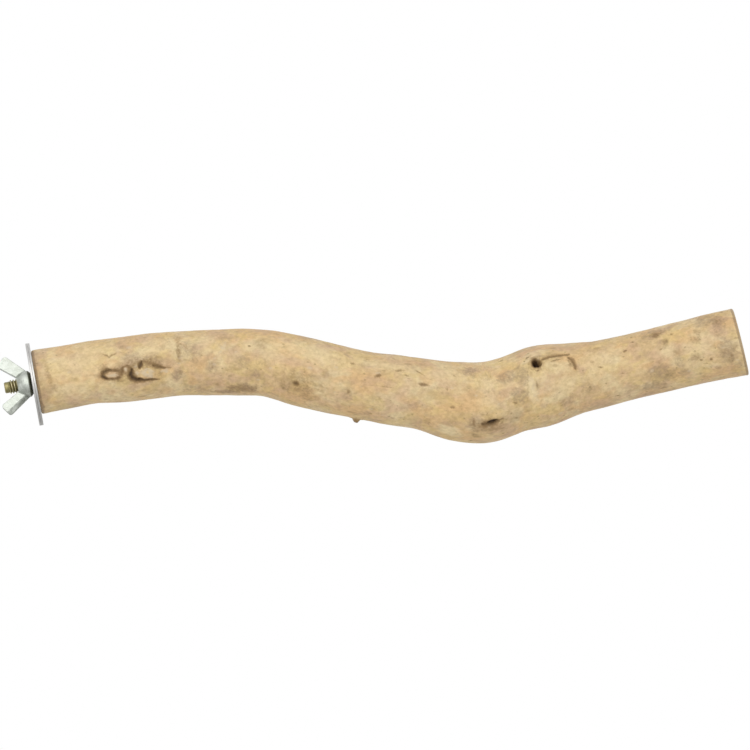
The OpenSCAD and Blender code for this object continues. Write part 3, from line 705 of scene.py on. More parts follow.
def bunched(count, low, high, focuses):  # places from low to high, closer together round each focus
    probe = np.linspace(low, high, 4001)
    density = np.ones_like(probe)
    for middle, reach, gain in focuses:
        density += gain * hill(probe, middle, reach)
    total = np.concatenate([[0], np.cumsum((density[1:] + density[:-1]) / 2)])
    return np.interp(np.linspace(0, total[-1], count), total, probe)


def fieldNoise(places, size, octaves=3):
    flat = places.reshape(-1, 3) / size
    values = [noise.fractal(Vector(p), 1.0, 2.0, octaves) for p in flat.tolist()]
    return np.array(values).reshape(places.shape[:-1])


def easeIn(values, low, high):
    share = np.clip((values - low) / (high - low), 0, 1)
    return share * share * (3 - 2 * share)


def wrapTurn(degrees):
    return (degrees + 180) % 360 - 180


class Skin:  # the wood's surface as rows of arc length, angle and radius, with the layers painted on it
    def __init__(self, shares, arc, turn, radius, pixels):
        self.shares, self.arc, self.turn, self.radius = shares, arc, turn, radius
        self.pixels = np.where((np.sin(np.radians(turn)) > -0.1)[:, :, None], pixels, 1e6)
        self.straight = np.stack(
            [arc, radius * np.cos(np.radians(turn)), radius * np.sin(np.radians(turn))], axis=-1)
        self.layers = {name: np.zeros_like(arc) for name in branchLayers + ("height",)}
        self.wobble = (fieldNoise(self.straight, 1.7), fieldNoise(self.straight + 40, 2.3))

    def find(self, place):  # arc length and angle of a place
        if place[0] < 1:
            return np.interp(place[0], self.shares, self.arc[:, 0]), place[1]
        gap = ((self.pixels - place) ** 2).sum(-1)
        row, column = np.unravel_index(gap.argmin(), gap.shape)
        row = min(max(row, 1), len(gap) - 2)
        across = np.stack([self.pixels[row + 1, column] - self.pixels[row - 1, column],
                           self.pixels[row, column + 1] - self.pixels[row, column - 1]], axis=1) / 2
        u, v = np.clip(np.linalg.solve(across, np.array(place) - self.pixels[row, column]), -0.6, 0.6)
        return (self.arc[row, 0] + u * (self.arc[row + 1, 0] - self.arc[row - 1, 0]) / 2,
                self.turn[0, column] + v * (self.turn[0, column + 1] - self.turn[0, column - 1]) / 2)

    def around(self, place, tilt=0):  # millimetres along and round from a place
        arc, turn = self.find(place)
        along, aside = self.arc - arc, np.radians(wrapTurn(self.turn - turn)) * self.radius
        c, s = math.cos(math.radians(tilt)), math.sin(math.radians(tilt))
        return along * c + aside * s, aside * c - along * s

    def oval(self, place, half, waver, tilt=0, field=0):  # 1 at its rim, and the millimetres along and round
        along, aside = self.around(place, tilt)
        return np.hypot(along / half[0], aside / half[1]) + self.wobble[field] * waver, along, aside

    def deepen(self, layer, values):
        self.layers[layer] = np.maximum(self.layers[layer], values)


def hill(values, middle, width):  # 1 at the middle, falling off smoothly on both sides
    return np.exp(-((values - middle) / width) ** 2)


def carveGrooves(skin):
    form = branchMarks["grooveForm"]
    for dark, depth, line in branchMarks["grooves"]:
        nearest = np.full_like(skin.arc, 99.0)
        for (*start, w0), (*end, w1) in zip(line[:-1], line[1:]):
            ways = zip(skin.around(start), skin.wobble)
            along, aside = (way + field * form["waver"] for way, field in ways)
            (arc0, turn0), (arc1, turn1) = skin.find(start), skin.find(end)
            run = np.array([arc1 - arc0, math.radians(turn1 - turn0) * skin.radius.mean()])
            t = np.clip((along * run[0] + aside * run[1]) / (run @ run), 0, 1)
            off = np.hypot(along - t * run[0], aside - t * run[1]) / (w0 + t * (w1 - w0))
            nearest = np.minimum(nearest, off)
        bank = form["bankRise"] * hill(nearest, *form["bank"])
        skin.layers["height"] += depth * (bank - np.exp(-form["cutFall"] * nearest ** 2))
        for layer, share, fall in form["stains"]:
            skin.deepen(layer, share * dark * np.exp(-fall * nearest ** 2))


def paintPatches(skin):
    for layer, patches in branchMarks["patches"].items():
        for right, down, strength, halfLong, halfWide, *tilt in patches:
            spread = skin.oval((right, down), (halfLong, halfWide), 0.4, *tilt)[0]
            mask = strength * (1 - easeIn(spread, 0.15, 1.6))
            skin.deepen(layer, mask * 0.9 if layer == "dark" else mask)
            if layer == "dark":
                skin.layers["height"] -= 0.15 * mask


def raiseScars(skin):
    form = branchMarks["scarForm"]
    for place, half, depth, dark in branchMarks["scars"]:
        spread, along, _ = skin.oval(place, half, form["waver"])
        rim = hill(spread, *form["rim"])
        skin.layers["height"] += form["lipRise"] * hill(spread, *form["lip"]) - depth * rim
        shade = 0.85 - 0.3 * along / half[0] + 0.5 * skin.wobble[1]
        skin.deepen("dark", dark * rim * np.clip(shade, 0.35, 1.3))
        skin.deepen("brown", 1.1 * (1 - easeIn(spread, *form["halo"])) * easeIn(spread, 0.5, 0.9))
    for place, half, rise in branchMarks["lumps"]:
        inside = 1 - easeIn(skin.oval(place, half, 0.25)[0], 0.55, 1.15)
        skin.layers["height"] += rise * inside * (1 + 0.6 * skin.wobble[1])
        skin.deepen("pale", 0.65 * inside * (1 + 1.1 * skin.wobble[1]))


def sinkHole(skin):
    hole = branchMarks["hole"]
    spread, along, aside = skin.oval(hole["place"], hole["half"], hole["waver"])
    wall = easeIn(along - 0.25 * aside, *hole["farWall"])  # it slopes and catches the light
    depth = hole["depth"] * (1 - easeIn(spread, *hole["mouth"])) * (1 - hole["wallRise"] * wall)
    skin.layers["height"] += hole["lipRise"] * hill(spread, *hole["lip"]) - depth
    # Painted shade: the hole's inside is darkened, near black at its core, and left lighter on the far wall
    # that catches the light
    skin.deepen("dark", np.clip(1.12 - 0.8 * wall - 0.9 * easeIn(spread, 0.7, 1.3), 0, 1) * (spread < 1.7))
    skin.deepen("brown", 0.8 * (1 - easeIn(spread, 1.0, 2.0)))


def growTwig(skin):
    twig = branchMarks["twig"]
    spread, along, _ = skin.oval(twig["place"], (twig["radius"], twig["radius"]), 0)
    broken = 1 + 0.22 * skin.wobble[0] - 0.12 * along / twig["radius"]
    stub = twig["stand"] * (1 - easeIn(spread, *twig["foot"])) * broken
    skin.layers["height"] += stub + twig["collarRise"] * hill(spread, *twig["collar"])
    skin.deepen("dark", 0.45 * (1 - easeIn(spread, 0.5, 1.1)))
    skin.deepen("grey", 1.1 * (1 - easeIn(spread, 0.8, 1.5)))


def scatterStrays(skin):  # more of them towards the free end
    strays = branchMarks["strays"]
    pick = np.random.default_rng(strays["seed"])
    for _ in range(strays["count"]):
        place = (0.03 + 0.955 * pick.uniform() ** strays["crowding"], pick.uniform(0, 360))
        half = (pick.uniform(0.25, 1) * strays["longest"], pick.uniform(0.3, 1) * strays["widest"])
        spread = skin.oval(place, half, 0.3, pick.uniform(-25, 25), field=1)[0]
        skin.deepen(pick.choice(["dark", "brown", "olive"]),
                    pick.uniform(0.4, 1) * strays["strength"] * (1 - easeIn(spread, 0.3, 1.3)))


def unit(rows):
    return rows / np.linalg.norm(rows, axis=1)[:, None]


def buildBranch():
    shape = branchShape
    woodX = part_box("branch")[0].x / mm
    shares = bunched(shape["rings"], 0, 1, shape["ringFocus"])
    turns = bunched(shape["rounds"] + 1, -90, 270, shape["roundFocus"])[:-1]
    cosines, sines = np.cos(np.radians(turns)), np.sin(np.radians(turns))

    # Middle line and the directions across it
    middle = np.stack([woodX + shape["reach"] * shares, shape["sway"] * smoothCourse(1, shares),
                       -shape["drop"] * smoothCourse(0, shares)], axis=1)
    along = unit(np.gradient(middle, shares, axis=0))
    square = (1 - easeIn(shares * shape["reach"], 0, shape["squareRun"]))[:, None]
    along = unit(along * (1 - square) + square * [1, 0, 0])
    up = unit([0, 0, 1] - along[:, 2:] * along)
    ways = (up, np.cross(along, up), along)
    arc = np.concatenate([[0], np.cumsum(np.linalg.norm(np.diff(middle, axis=0), axis=1))])

    # Radius with its swellings, then the marks
    turn = np.broadcast_to(turns, (len(shares), len(turns)))
    oval = 1 + shape["ovalShare"] * np.cos(np.radians(2 * turn - 360 * shape["ovalTurns"] * shares[:, None]))
    radius = shape["endDiameter"] / 2 * smoothCourse(2, shares)[:, None] * oval
    for share, angle, rise, spread in shape["swellings"]:
        far = ((shares - share) * shape["reach"] / spread)[:, None]
        beside = np.radians(wrapTurn(turn - angle)) * shape["endDiameter"] / 2 / spread
        radius = radius + rise * np.exp(-2 * (far ** 2 + beside ** 2))

    def ringsAt(centre, ways, reach, tilt=0, drawnBack=0):
        upward, sideways, forward = (way[:, None] for way in ways)
        rise = reach * cosines
        return (centre[:, None] + sideways * (reach * sines)[:, :, None]
                + upward * (rise * np.cos(tilt))[:, :, None]
                - forward * (rise * np.sin(tilt) + drawnBack)[:, :, None])

    def rolledOut(run, reach):  # the same places along a straight grain
        return np.stack([run + 0 * reach * turns, reach * cosines, reach * sines], axis=2)

    arcs = np.broadcast_to(arc[:, None], turn.shape)
    skin = Skin(shares, arcs, turn, radius, toPixels(ringsAt(middle, ways, radius)))
    for rise, size, stretch in shape["waves"]:
        skin.layers["height"] += rise * fieldNoise(skin.straight * [stretch, 1, 1] + size, size, 2)
    for addMarks in (raiseScars, carveGrooves, paintPatches, sinkHole, growTwig, scatterStrays):
        addMarks(skin)
    print("wood skin:", skin.arc.shape)

    # Rounded sawn edges: the relief fades out and the radius draws in
    rounding = shape["rounding"]
    fromEnd = np.minimum(arc, arc[-1] - arc)[:, None]
    fade = easeIn(fromEnd, 0, shape["reliefRun"] * rounding)
    inset = rounding - np.sqrt(np.maximum(rounding ** 2 - np.maximum(rounding - fromEnd, 0) ** 2, 0))
    relief = shape["reliefAtEnds"] + (1 - shape["reliefAtEnds"]) * fade
    outer = radius + skin.layers["height"] * relief - inset
    nearCut = easeIn(arc, arc[-1] - shape["leanRun"], arc[-1])[:, None]
    back = outer * sines * math.tan(math.radians(shape["cutTurn"])) - shape["cutReach"]
    tube = ringsAt(middle, ways, outer, math.radians(shape["cutLean"]) * nearCut, back * nearCut)

    # Far face, drawn in to its middle, and near face down into the bore
    inward = np.linspace(1, 0, shape["farRings"] + 1)[1:, None]
    farMiddle = middle[-1] + along[-1] * shape["cutReach"]
    far = tube[-1][None] * inward[:, :, None] + farMiddle * (1 - inward[:, :, None])
    boreR, boreEnd, mouth = shape["boreRadius"], shape["boreDepth"], shape["boreMouth"]
    pilotR, pilotEnd = shape["pilotRadius"], shape["pilotDepth"]
    bore = [(0, r) for r in np.linspace(shape["faceReach"], boreR + mouth, shape["nearRings"])]
    bore += [(x, boreR) for x in (mouth, 4, 8, boreEnd)] + [(boreEnd, pilotR)]
    bore += [(x, pilotR) for x in np.linspace(18, pilotEnd - shape["pilotTip"], 4)] + [(pilotEnd, 0)]
    x, reach = np.array(bore, float)[::-1].T[:, :, None]
    level = [np.tile(way, (len(x), 1)) for way in ((0, 0, 1), (0, -1, 0), (1, 0, 0))]
    near = ringsAt(np.pad(woodX + x, ((0, 0), (0, 2))), level, reach + 0 * turns)

    points = np.concatenate([near, tube, far])
    place = np.concatenate([rolledOut(x, reach), skin.straight, rolledOut(arc[-1], inward * outer[-1])])
    mesh = meshFrom("branchWood", points.reshape(-1, 3) * mm, gridFaces(len(points), len(turns)))
    paint(mesh, "woodPlace", place.reshape(-1, 3))
    masks = {name: np.clip(skin.layers[name] * fade, 0, 1.5) for name in branchLayers}
    masks["end"] = 1 - easeIn(fromEnd + 0 * turn, 0, rounding * 0.7)
    masks["edge"] = (1 - easeIn(fromEnd + 0 * turn, rounding * 0.8, rounding * 2.2)) * (1 - masks["end"])
    for name, mask in masks.items():
        onFaces = 1 if name == "end" else 0
        padded = np.pad(mask, ((len(near), len(far)), (0, 0)), constant_values=onFaces)
        paint(mesh, name + "Share", padded.ravel())
    return sealMesh(mesh)


branchWood = newPiece("branchWood", buildBranch(), bareWood)
print("branch:", len(branchWood.data.vertices), "points")


# Threads

threadFit = {  # millimetres
    "diameter": 6.35, "pitch": 1.27, "depthShare": 0.55, "crestShare": 0.1, "nutCrestShare": 0.065,
    "gap": 0.1, "flankAngle": 30, "fade": 0.6, "steps": 64, "columns": 21, "weld": 0.0015,
}
boltShape = {  # millimetres
    "tip": 1.9, "tipPlay": 0.05, "chamfer": 0.4, "soft": 0.08, "break": 0.02, "hidden": 5, "shank": 6,
    "shankShare": 0.32, "screwDiameter": 6.2, "screwCore": 4.2, "screwPitch": 2.54, "screwCrestShare": 0.04,
    "screwFlankShare": 0.16, "runOut": 0.4, "point": 4,
}
fit = threadFit
crestR = fit["diameter"] / 2
rootR = crestR - fit["depthShare"] * fit["pitch"]
nutCrestR, nutRootR = rootR + fit["gap"], crestR + fit["gap"]
flankRun = (crestR - rootR) * math.tan(math.radians(fit["flankAngle"]))
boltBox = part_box("hanger_bolt")
tipX, boltEndX = boltBox[0].x / mm, boltBox[1].x / mm
threadX = tipX + boltShape["tip"]
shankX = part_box("branch")[0].x / mm + boltShape["hidden"]
screwX = shankX + boltShape["shank"]


def buildThreadTree():  # a helical strip that closes on itself turn by turn
    tree = bpy.data.node_groups.new("screwThread", "GeometryNodeTree")
    tree.is_modifier = True
    lengths = ("Pitch", "Root Radius", "Crest Radius", "Crest Half Width", "Flank Run", "Start", "End",
               "First Crest", "Fade")
    for titles, kind in ((lengths, "Float"), (("Steps", "Columns"), "Int"), (("Finish",), "Material")):
        for title in titles:
            tree.interface.new_socket(name=title, in_out="INPUT", socket_type="NodeSocket" + kind)
    tree.interface.new_socket(name="Thread", in_out="OUTPUT", socket_type="NodeSocketGeometry")
    given = tree.nodes.new("NodeGroupInput").outputs

    def work(operation, *values):
        return sumUp(tree, operation, *values)

    span = work("SUBTRACT", given["End"], given["First Crest"])
    turns = work("CEIL", work("ADD", work("DIVIDE", span, given["Pitch"]), 0.5))
    rows = addNode(tree, "FunctionNodeFloatToInt", {"rounding_mode": "ROUND"},
                   {0: work("MULTIPLY_ADD", turns, given["Steps"], 1.0)}).outputs[0]
    strip = addNode(tree, "GeometryNodeMeshGrid", None, {
        "Size X": 1.0, "Size Y": 1.0, "Vertices X": given["Columns"], "Vertices Y": rows}).outputs["Mesh"]
    place = addNode(tree, "ShaderNodeSeparateXYZ", None,
                    {0: tree.nodes.new("GeometryNodeInputPosition").outputs[0]}).outputs
    across = place[0]  # from -0.5 to 0.5 over one pitch
    turn = work("MULTIPLY", work("ADD", place[1], 0.5), turns)
    angle = work("MULTIPLY_ADD", turn, 2 * math.pi, -math.pi / 2)
    run = work("MULTIPLY_ADD", work("ADD", turn, across), given["Pitch"], given["First Crest"])
    fromCrest = work("MULTIPLY", work("ABSOLUTE", across), given["Pitch"])
    foot = work("ADD", given["Crest Half Width"], given["Flank Run"])
    profile = remap(tree, fromCrest, given["Crest Half Width"], foot, 1.0, 0.0)
    fades = [remap(tree, work("SUBTRACT", *pair), 0.0, given["Fade"])
             for pair in ((run, given["Start"]), (given["End"], run))]
    full = work("MULTIPLY", profile, work("MINIMUM", *fades))
    reach = work("SUBTRACT", given["Crest Radius"], given["Root Radius"])
    radius = work("MULTIPLY_ADD", full, reach, given["Root Radius"])
    spot = addNode(tree, "ShaderNodeCombineXYZ", None, {
        0: work("MINIMUM", work("MAXIMUM", run, given["Start"]), given["End"]),
        1: work("MULTIPLY", radius, work("COSINE", angle)), 2: work("MULTIPLY", radius, work("SINE", angle))})
    result = addNode(tree, "GeometryNodeSetPosition", None, {"Geometry": strip, "Position": spot.outputs[0]})
    for kind, inputs in (("MergeByDistance", {"Distance": 1e-6}), ("RealizeInstances", {}),
                         ("SetMaterial", {"Material": given["Finish"]})):
        result = addNode(tree, "GeometryNode" + kind, None, {0: result.outputs[0], **inputs})
    tree.links.new(result.outputs[0], tree.nodes.new("NodeGroupOutput").inputs[0])
    layOut(tree)
    return tree


threadTree = buildThreadTree()


def plainMesh(name, mesh, setUp):  # the mesh after one modifier, which setUp adds to a passing object
    carrier = bpy.data.objects.new(name, mesh)
    stage.collection.objects.link(carrier)
    setUp(carrier)
    bpy.context.view_layer.update()
    made = bpy.data.meshes.new_from_object(carrier.evaluated_get(bpy.context.evaluated_depsgraph_get()))
    carrier.modifiers.clear()
    bpy.data.objects.remove(carrier)
    return made


def cutThread(name, finish, pitch, radii, flank, ends, firstCrest, fade):  # the tree's result
    values = dict(zip(("Root Radius", "Crest Radius", "Crest Half Width", "Flank Run", "Start", "End"),
                      (*radii, *flank, *ends)), Pitch=pitch, Fade=fade)
    values["First Crest"] = firstCrest
    values = {title: value * mm for title, value in values.items()}
    values.update({"Steps": fit["steps"], "Columns": fit["columns"], "Finish": finish})

    def setUp(carrier):
        modifier = carrier.modifiers.new(name, "NODES")
        modifier.node_group = threadTree
        for item in threadTree.interface.items_tree:
            if item.in_out == "INPUT":
                modifier[item.identifier] = values[item.name]

    return plainMesh(name, bpy.data.meshes.new(name), setUp)


# Hanger bolt

def buildBolt():
    shape, pitch = boltShape, fit["pitch"]
    machine = cutThread("machineThread", yellowZinc, pitch, (rootR, crestR),
                        (fit["crestShare"] * pitch, flankRun), (threadX, shankX), threadX - pitch / 2,
                        fit["fade"])
    screwR, screwCrestR = shape["screwCore"] / 2, shape["screwDiameter"] / 2
    pitch, screwEnd = shape["screwPitch"], boltEndX - shape["point"]
    wood = cutThread("woodThread", yellowZinc, pitch, (screwR, screwCrestR),
                     (shape["screwCrestShare"] * pitch, shape["screwFlankShare"] * pitch),
                     (screwX + shape["runOut"], screwEnd), screwX - pitch / 2, 2 * fit["fade"])
    tipR = nutCrestR - shape["tipPlay"]  # the nut's thread passes over it
    shankR = crestR - shape["shankShare"] * fit["pitch"]
    chamfer, soft, edge = shape["chamfer"], shape["soft"], shape["break"]
    tip = [(tipX, 0), (tipX, tipR - chamfer - soft)]
    tip += [(tipX + soft * (1 - math.cos(a)), tipR - chamfer - soft + soft * math.sin(a))
            for a in map(math.radians, (20, 45, 70))]
    tip += [(tipX + chamfer - soft, tipR - soft), (tipX + chamfer, tipR - edge)]
    tip += [(x, tipR) for x in (tipX + chamfer + soft, threadX - 0.5, threadX - 2 * soft)]
    tip += [(threadX - soft, tipR - edge), (threadX, rootR)]
    shank = [(shankX, rootR), (shankX + soft, shankR - soft), (shankX + 2 * soft, shankR)]
    shank += [(x, shankR) for x in np.linspace(shankX + 0.5, screwX - 0.5, 8)]
    shank += [(screwX - soft, shankR), (screwX, shankR - soft), (screwX + 0.15, screwR + soft),
              (screwX + shape["runOut"], screwR)]
    point = [(screwEnd, screwR)] + [
        (screwEnd + shape["point"] * s, screwR * (1 - s ** 1.3 * 0.94)) for s in np.linspace(0.1, 0.98, 10)]
    point += [(boltEndX, screwR * 0.03), (boltEndX, 0)]
    lathed = [lathe("boltPart", outline, fit["steps"]) for outline in (tip, shank, point)]
    mesh = sealMesh(machine, wood, *lathed, gap=fit["weld"] * mm)
    points = readPoints(mesh) / mm
    inWood = points[:, 0] > screwX
    threaded = inWood | (points[:, 0] > threadX) & (points[:, 0] < shankX)
    core, crest = (np.where(inWood, *pair) for pair in ((screwR, rootR), (screwCrestR, crestR)))
    rise = (np.hypot(points[:, 1], points[:, 2]) - core) / (crest - core)
    # painted shade in the thread roots, plus an even darkening over the plain tip
    paint(mesh, "hollowShadeShare", threaded * (1 - easeIn(rise, 0.1, 0.65)) + 0.45 * (points[:, 0] < threadX))
    paint(mesh, "ridgeShare", threaded * easeIn(rise, 0.6, 0.95))
    return mesh


hangerBolt = newPiece("hangerBoltThreaded", buildBolt(), yellowZinc)
print("bolt:", len(hangerBolt.data.vertices), "points")


# Washers

washerShape = {  # millimetres
    "roll": 0.3, "burr": 0.1, "dish": 0.03, "holeRadius": 3.975, "faceMargin": 0.4, "rimBand": (0.04, 0.12),
    "steps": 180, "cornerSteps": 7, "faceRings": 40, "bendSharpness": 9000,
}


def buildWasher(node, rollOutwards):
    low, high = (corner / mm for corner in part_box(node))
    outerR, drop, thick = (high.z - low.z) / 2, (high.z + low.z) / 2, high.x - low.x
    shape = washerShape
    innerR, margin, (bandStart, bandEnd) = shape["holeRadius"], shape["faceMargin"], shape["rimBand"]

    def corner(r, x, inwards, towards, rounding):  # quarter arc from the face to the wall
        arc = np.radians(np.linspace(0, 90, shape["cornerSteps"]))
        return [(x + towards * rounding * (1 - math.cos(a)), r + inwards * rounding * (1 - math.sin(a)))
                for a in arc]

    roll, burr = (shape[edge] for edge in (("roll", "burr") if rollOutwards else ("burr", "roll")))
    face = np.linspace(innerR + margin, outerR - margin, shape["faceRings"])
    outline = corner(outerR, 0, -1, 1, roll) + corner(outerR, thick, -1, -1, burr)[::-1]
    outline += [(thick, r) for r in face[::-1]]
    outline += corner(innerR, thick, 1, -1, burr) + corner(innerR, 0, 1, 1, roll)[::-1]
    outline += [(0, r) for r in face]
    outline.append(outline[0])
    outline = [(low.x + x, r) for x, r in outline]
    mesh = lathe(node, outline, shape["steps"])
    points = readPoints(mesh) / mm
    spread = np.hypot(points[:, 1], points[:, 2])
    turn = np.arctan2(points[:, 2], points[:, 1])
    middle = (low.x + high.x) / 2
    dish = shape["dish"] * (1 + np.sin(2 * turn + node.count("n"))) * (spread / outerR) ** 2
    points[:, 0] = middle + (points[:, 0] - middle) * (1 - dish / thick * 2)
    points[:, 2] += drop
    mesh.vertices.foreach_set("co", (points * mm).ravel())
    sealMesh(mesh)
    points = readPoints(mesh) / mm
    spread = np.hypot(points[:, 1], points[:, 2] - drop)
    paintBends(mesh, shape["bendSharpness"], 1)
    outerBand = easeIn(spread, outerR - bandEnd, outerR - bandStart)
    paint(mesh, "rimBandAndShadeShare", outerBand + 1 - easeIn(spread, innerR + bandStart, innerR + bandEnd))
    return mesh


innerWasher = newPiece("innerWasherPlate", buildWasher("inner_washer", False), washerZinc)
outerWasher = newPiece("outerWasherPlate", buildWasher("outer_washer", True), washerZinc)
print("washers:", len(innerWasher.data.vertices), "points each")


# Wing nut

nutShape = {  # millimetres and degrees
    "height": 6.8, "baseDiameter": 12.2, "wingThick": (2.5, 1.95), "wingLength": 12.8,
    "wingWidth": (4.8, 6.2), "cornerRadius": 1.3, "spread": 39, "skew": 5, "turn": 22,
    "rootHeightShare": 0.48, "rootRadiusShare": 0.68,
    "voxel": 0.17, "smoothing": 6, "hubSteps": 96, "undercut": 1.45, "bandFrom": (4.2, 4.8), "mouth": 0.35,
    "mouthLip": 0.1, "threadFade": 0.7, "bendSharpness": 2000, "bendRounds": 8, "cornerSteps": 7,
    "flank": [(-1, 2.2), (0.3, 0), (1, 0)],  # place through the thickness, how far the edge draws in
    # Height and radius of the hub, as shares of its height and base radius
    "hub": [(0, 0.8), (0.04, 0.84), (0.11, 0.93), (0.17, 0.985), (0.24, 0.99), (0.34, 0.985), (0.46, 0.96),
            (0.62, 0.9), (0.78, 0.81), (0.9, 0.72), (0.97, 0.64), (1, 0.58)],
}


def buildWing(side):  # one flat wing as a closed block, with a broad bevel on one flank
    shape = nutShape
    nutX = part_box("wing_nut")[1].x / mm
    opened = math.radians(shape["spread"] + side * shape["skew"])
    turned = math.radians(shape["turn"])
    outwards = np.array([-1.0, 0, 0])
    radial = side * np.array([0, math.sin(turned), math.cos(turned)])
    length = math.cos(opened) * outwards + math.sin(opened) * radial
    width = math.sin(opened) * outwards - math.cos(opened) * radial
    thick = np.cross(length, width)
    root = np.array([nutX, 0, 0]) + outwards * shape["rootHeightShare"] * shape["height"]
    root = root + radial * shape["rootRadiusShare"] * shape["baseDiameter"] / 2
    rootW, tipW = (w / 2 for w in shape["wingWidth"])
    rootT, tipT = shape["wingThick"]
    corner, reach = shape["cornerRadius"], shape["wingLength"]
    outline = [(0, rootW), (0, -rootW)]
    for sign, first in ((-1, -90), (1, 0)):
        for a in np.radians(np.linspace(first, first + 90, shape["cornerSteps"])):
            across = sign * (tipW - corner) + corner * math.sin(a)
            outline.append((reach - corner + corner * math.cos(a), across))
    rim = []
    for level, drawnIn in shape["flank"]:
        for along, across in outline:
            half = (rootT + (tipT - rootT) * along / reach) / 2
            inset = drawnIn * max(0, -across) / tipW
            rim.append(root + length * along + width * (across + inset) + thick * level * half)
    count = len(outline)
    last = len(rim) - count
    faces = [list(range(count))[::-1], list(range(last, last + count))]
    faces += [[row + i, row + (i + 1) % count, row + (i + 1) % count + count, row + i + count]
              for row in range(0, last, count) for i in range(count)]
    mesh = bpy.data.meshes.new("wingBlock")
    mesh.from_pydata([tuple(p * mm) for p in rim], [], faces)
    return mesh


def withModifier(mesh, kind, **settings):  # the mesh after one modifier
    def setUp(carrier):
        modifier = carrier.modifiers.new("step", kind)
        for name, value in settings.items():
            setattr(modifier, name, value)

    return plainMesh("carrier", mesh, setUp)


def buildNut():
    shape = nutShape
    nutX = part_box("wing_nut")[1].x / mm
    height, baseR = shape["height"], shape["baseDiameter"] / 2
    hub = [(nutX, 0)] + [(nutX - h * height, r * baseR) for h, r in shape["hub"]] + [(nutX - height, 0)]
    body = sealMesh(lathe("wingNut", hub, shape["hubSteps"]), buildWing(1), buildWing(-1))
    body = withModifier(body, "REMESH", mode="VOXEL", voxel_size=shape["voxel"] * mm)
    body = withModifier(body, "SMOOTH", factor=0.5, iterations=shape["smoothing"])

    # The thread is cut by a plug of its own shape, flared at both mouths
    mouth = shape["mouth"]
    near, far = nutX - mouth, nutX - height + mouth
    pitch, flare = fit["pitch"], mouth + shape["mouthLip"]
    plugThread = cutThread("nutThread", nutZinc, pitch, (nutRootR, nutCrestR),
                           (fit["nutCrestShare"] * pitch, flankRun), (far, near), threadX - pitch * 2,
                           shape["threadFade"])
    ends = [[(far, nutRootR), (far - flare, nutRootR + 0.8 * flare), (far - flare, 0)],
            [(near, nutRootR), (near + flare, nutRootR + flare), (near + flare, 0)]]
    plug = sealMesh(plugThread, *[lathe("plugEnd", end, fit["steps"]) for end in ends], gap=fit["weld"] * mm)
    cutter = bpy.data.objects.new("cutter", plug)
    stage.collection.objects.link(cutter)
    body = withModifier(body, "BOOLEAN", operation="DIFFERENCE", solver="MANIFOLD", object=cutter)
    bpy.data.objects.remove(cutter)
    mesh = sealMesh(body)
    paintBends(mesh, shape["bendSharpness"], shape["bendRounds"])
    points = readPoints(mesh) / mm
    spread = np.hypot(points[:, 1], points[:, 2])
    fromBase = nutX - points[:, 0]
    # Painted shade: the hub's undercut base, next to the washer, is marked for the near-black rim tone
    nearBase = 1 - easeIn(fromBase, shape["undercut"] * 0.8, shape["undercut"] * 1.15)
    paint(mesh, "rimBandAndShadeShare", nearBase * easeIn(spread, *shape["bandFrom"]))
    return mesh


wingNut = newPiece("wingNutForged", buildNut(), nutZinc)
print("wing nut:", len(wingNut.data.vertices), "points")

for piece, body, node, slot in (
    (branchWood, "perch", "branch", "bare_wood"), (hangerBolt, "perch", "hanger_bolt", "yellow_zinc"),
    (innerWasher, "perch", "inner_washer", "washer_zinc"),
    (outerWasher, "clamp_washer", "outer_washer", "washer_zinc"), (wingNut, "nut", "wing_nut", "nut_zinc"),
):
    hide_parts(node)
    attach(piece, body)


# Camera

def aimCamera():
    place, target, sideways, upward, forward = sightFrame()
    data = bpy.data.cameras.new("photoCamera")
    data.sensor_width = view["sensor"]
    data.lens = view["sensor"] * (target - place).length / (view["pixels"] * view["metresPerPixel"])
    data.clip_start, data.clip_end = 0.1, 20
    camera = bpy.data.objects.new("photoCamera", data)
    turned = Matrix((sideways, upward, -forward)).transposed()
    camera.matrix_world = Matrix.Translation(place) @ turned.to_4x4()
    stage.collection.objects.link(camera)
    stage.camera = camera


aimCamera()
print("camera: lens", round(stage.camera.data.lens, 1))


# Studio

studio = {  # metres, and strengths as shares of plain white
    "floor": {"height": -0.3, "radius": 0.85, "colour": (0.9, 0.9, 0.89), "fade": (0.55, 0.98), "rings": 24,
              "steps": 96},
    "surround": 0.56,
    "lamps": [  # name, place, side of the square, share of plain white, colour
        ("softboxFront", (-0.3, -1.9, 1.15), 2.6, 0.55, (1.0, 0.995, 0.985)),
    ],
    "aim": (0.13, 0, -0.02),
}


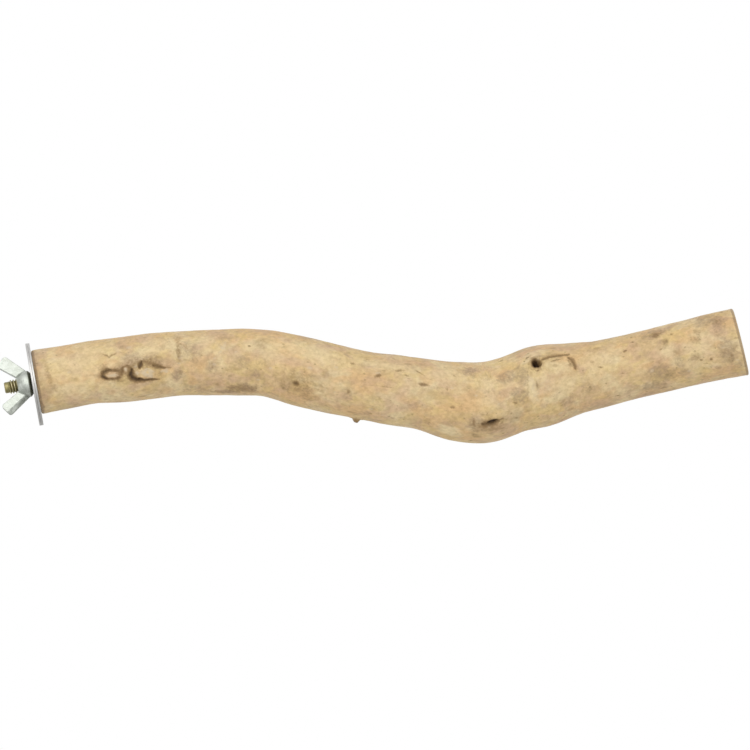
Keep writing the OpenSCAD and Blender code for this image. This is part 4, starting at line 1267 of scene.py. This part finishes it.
def lightStudio():
    for name, place, side, share, colour in studio["lamps"]:
        data = bpy.data.lights.new(name, "AREA")
        data.size = side
        away = Vector(place) - Vector(studio["aim"])
        data.energy = share * math.pi ** 2 * away.length_squared
        data.color = colour
        lamp = bpy.data.objects.new(name, data)
        lamp.location = place
        lamp.rotation_euler = away.to_track_quat("Z", "Y").to_euler()
        stage.collection.objects.link(lamp)
    world = bpy.data.worlds.new("whiteSurround")
    stage.world = world
    world.use_nodes = True
    tree = world.node_tree
    background = tree.nodes["Background"]
    rays = addNode(tree, "ShaderNodeLightPath").outputs
    seen = sumUp(tree, "MAXIMUM", rays["Is Camera Ray"], rays["Is Glossy Ray"])
    seen = sumUp(tree, "MAXIMUM", seen, rays["Is Transmission Ray"])
    wire(tree, background.inputs["Color"], (1, 1, 1, 1))
    wire(tree, background.inputs["Strength"], remap(tree, seen, 0.0, 1.0, studio["surround"], 1.0))
    layOut(tree)


def layFloor():  # a pale disc whose rim fades into the surround, and that isn't seen from below
    floor = studio["floor"]
    rings = [(0, r * floor["radius"] / mm) for r in np.linspace(0, 1, floor["rings"])]
    mesh = lathe("floorDisc", rings, floor["steps"])
    mesh.transform(Matrix.Rotation(-math.pi / 2, 4, "Y"))
    mesh.transform(Matrix.Translation((studio["aim"][0], 0, floor["height"])))
    sealMesh(mesh, gap=1e-5)
    material = bpy.data.materials.new("paleFloor")
    material.use_nodes = True
    tree = material.node_tree
    tree.nodes.clear()
    matt = addNode(tree, "ShaderNodeBsdfDiffuse", None, {"Color": (*floor["colour"], 1)})
    clear = addNode(tree, "ShaderNodeBsdfTransparent")
    place = addNode(tree, "ShaderNodeTexCoord").outputs["Object"]
    centred = vectorSum(tree, "SUBTRACT", place, (studio["aim"][0], 0, 0))
    level = vectorSum(tree, "MULTIPLY", centred, (1, 1, 0))
    fadeStart, fadeEnd = (floor["radius"] * share for share in floor["fade"])
    rim = remap(tree, lengthOf(tree, level), fadeStart, fadeEnd, kind="SMOOTHSTEP")
    below = addNode(tree, "ShaderNodeNewGeometry").outputs["Backfacing"]
    mix = addNode(tree, "ShaderNodeMixShader", None, {
        0: sumUp(tree, "MAXIMUM", rim, below), 1: matt.outputs[0], 2: clear.outputs[0]})
    wire(tree, addNode(tree, "ShaderNodeOutputMaterial").inputs["Surface"], mix.outputs[0])
    layOut(tree)
    piece = newPiece("paleFloor", mesh, material)
    if piece.data.polygons[0].normal.z < 0:
        piece.data.flip_normals()


lightStudio()
layFloor()
stage.view_settings.view_transform = "Standard"
print("studio:", len(studio["lamps"]), "lamps")
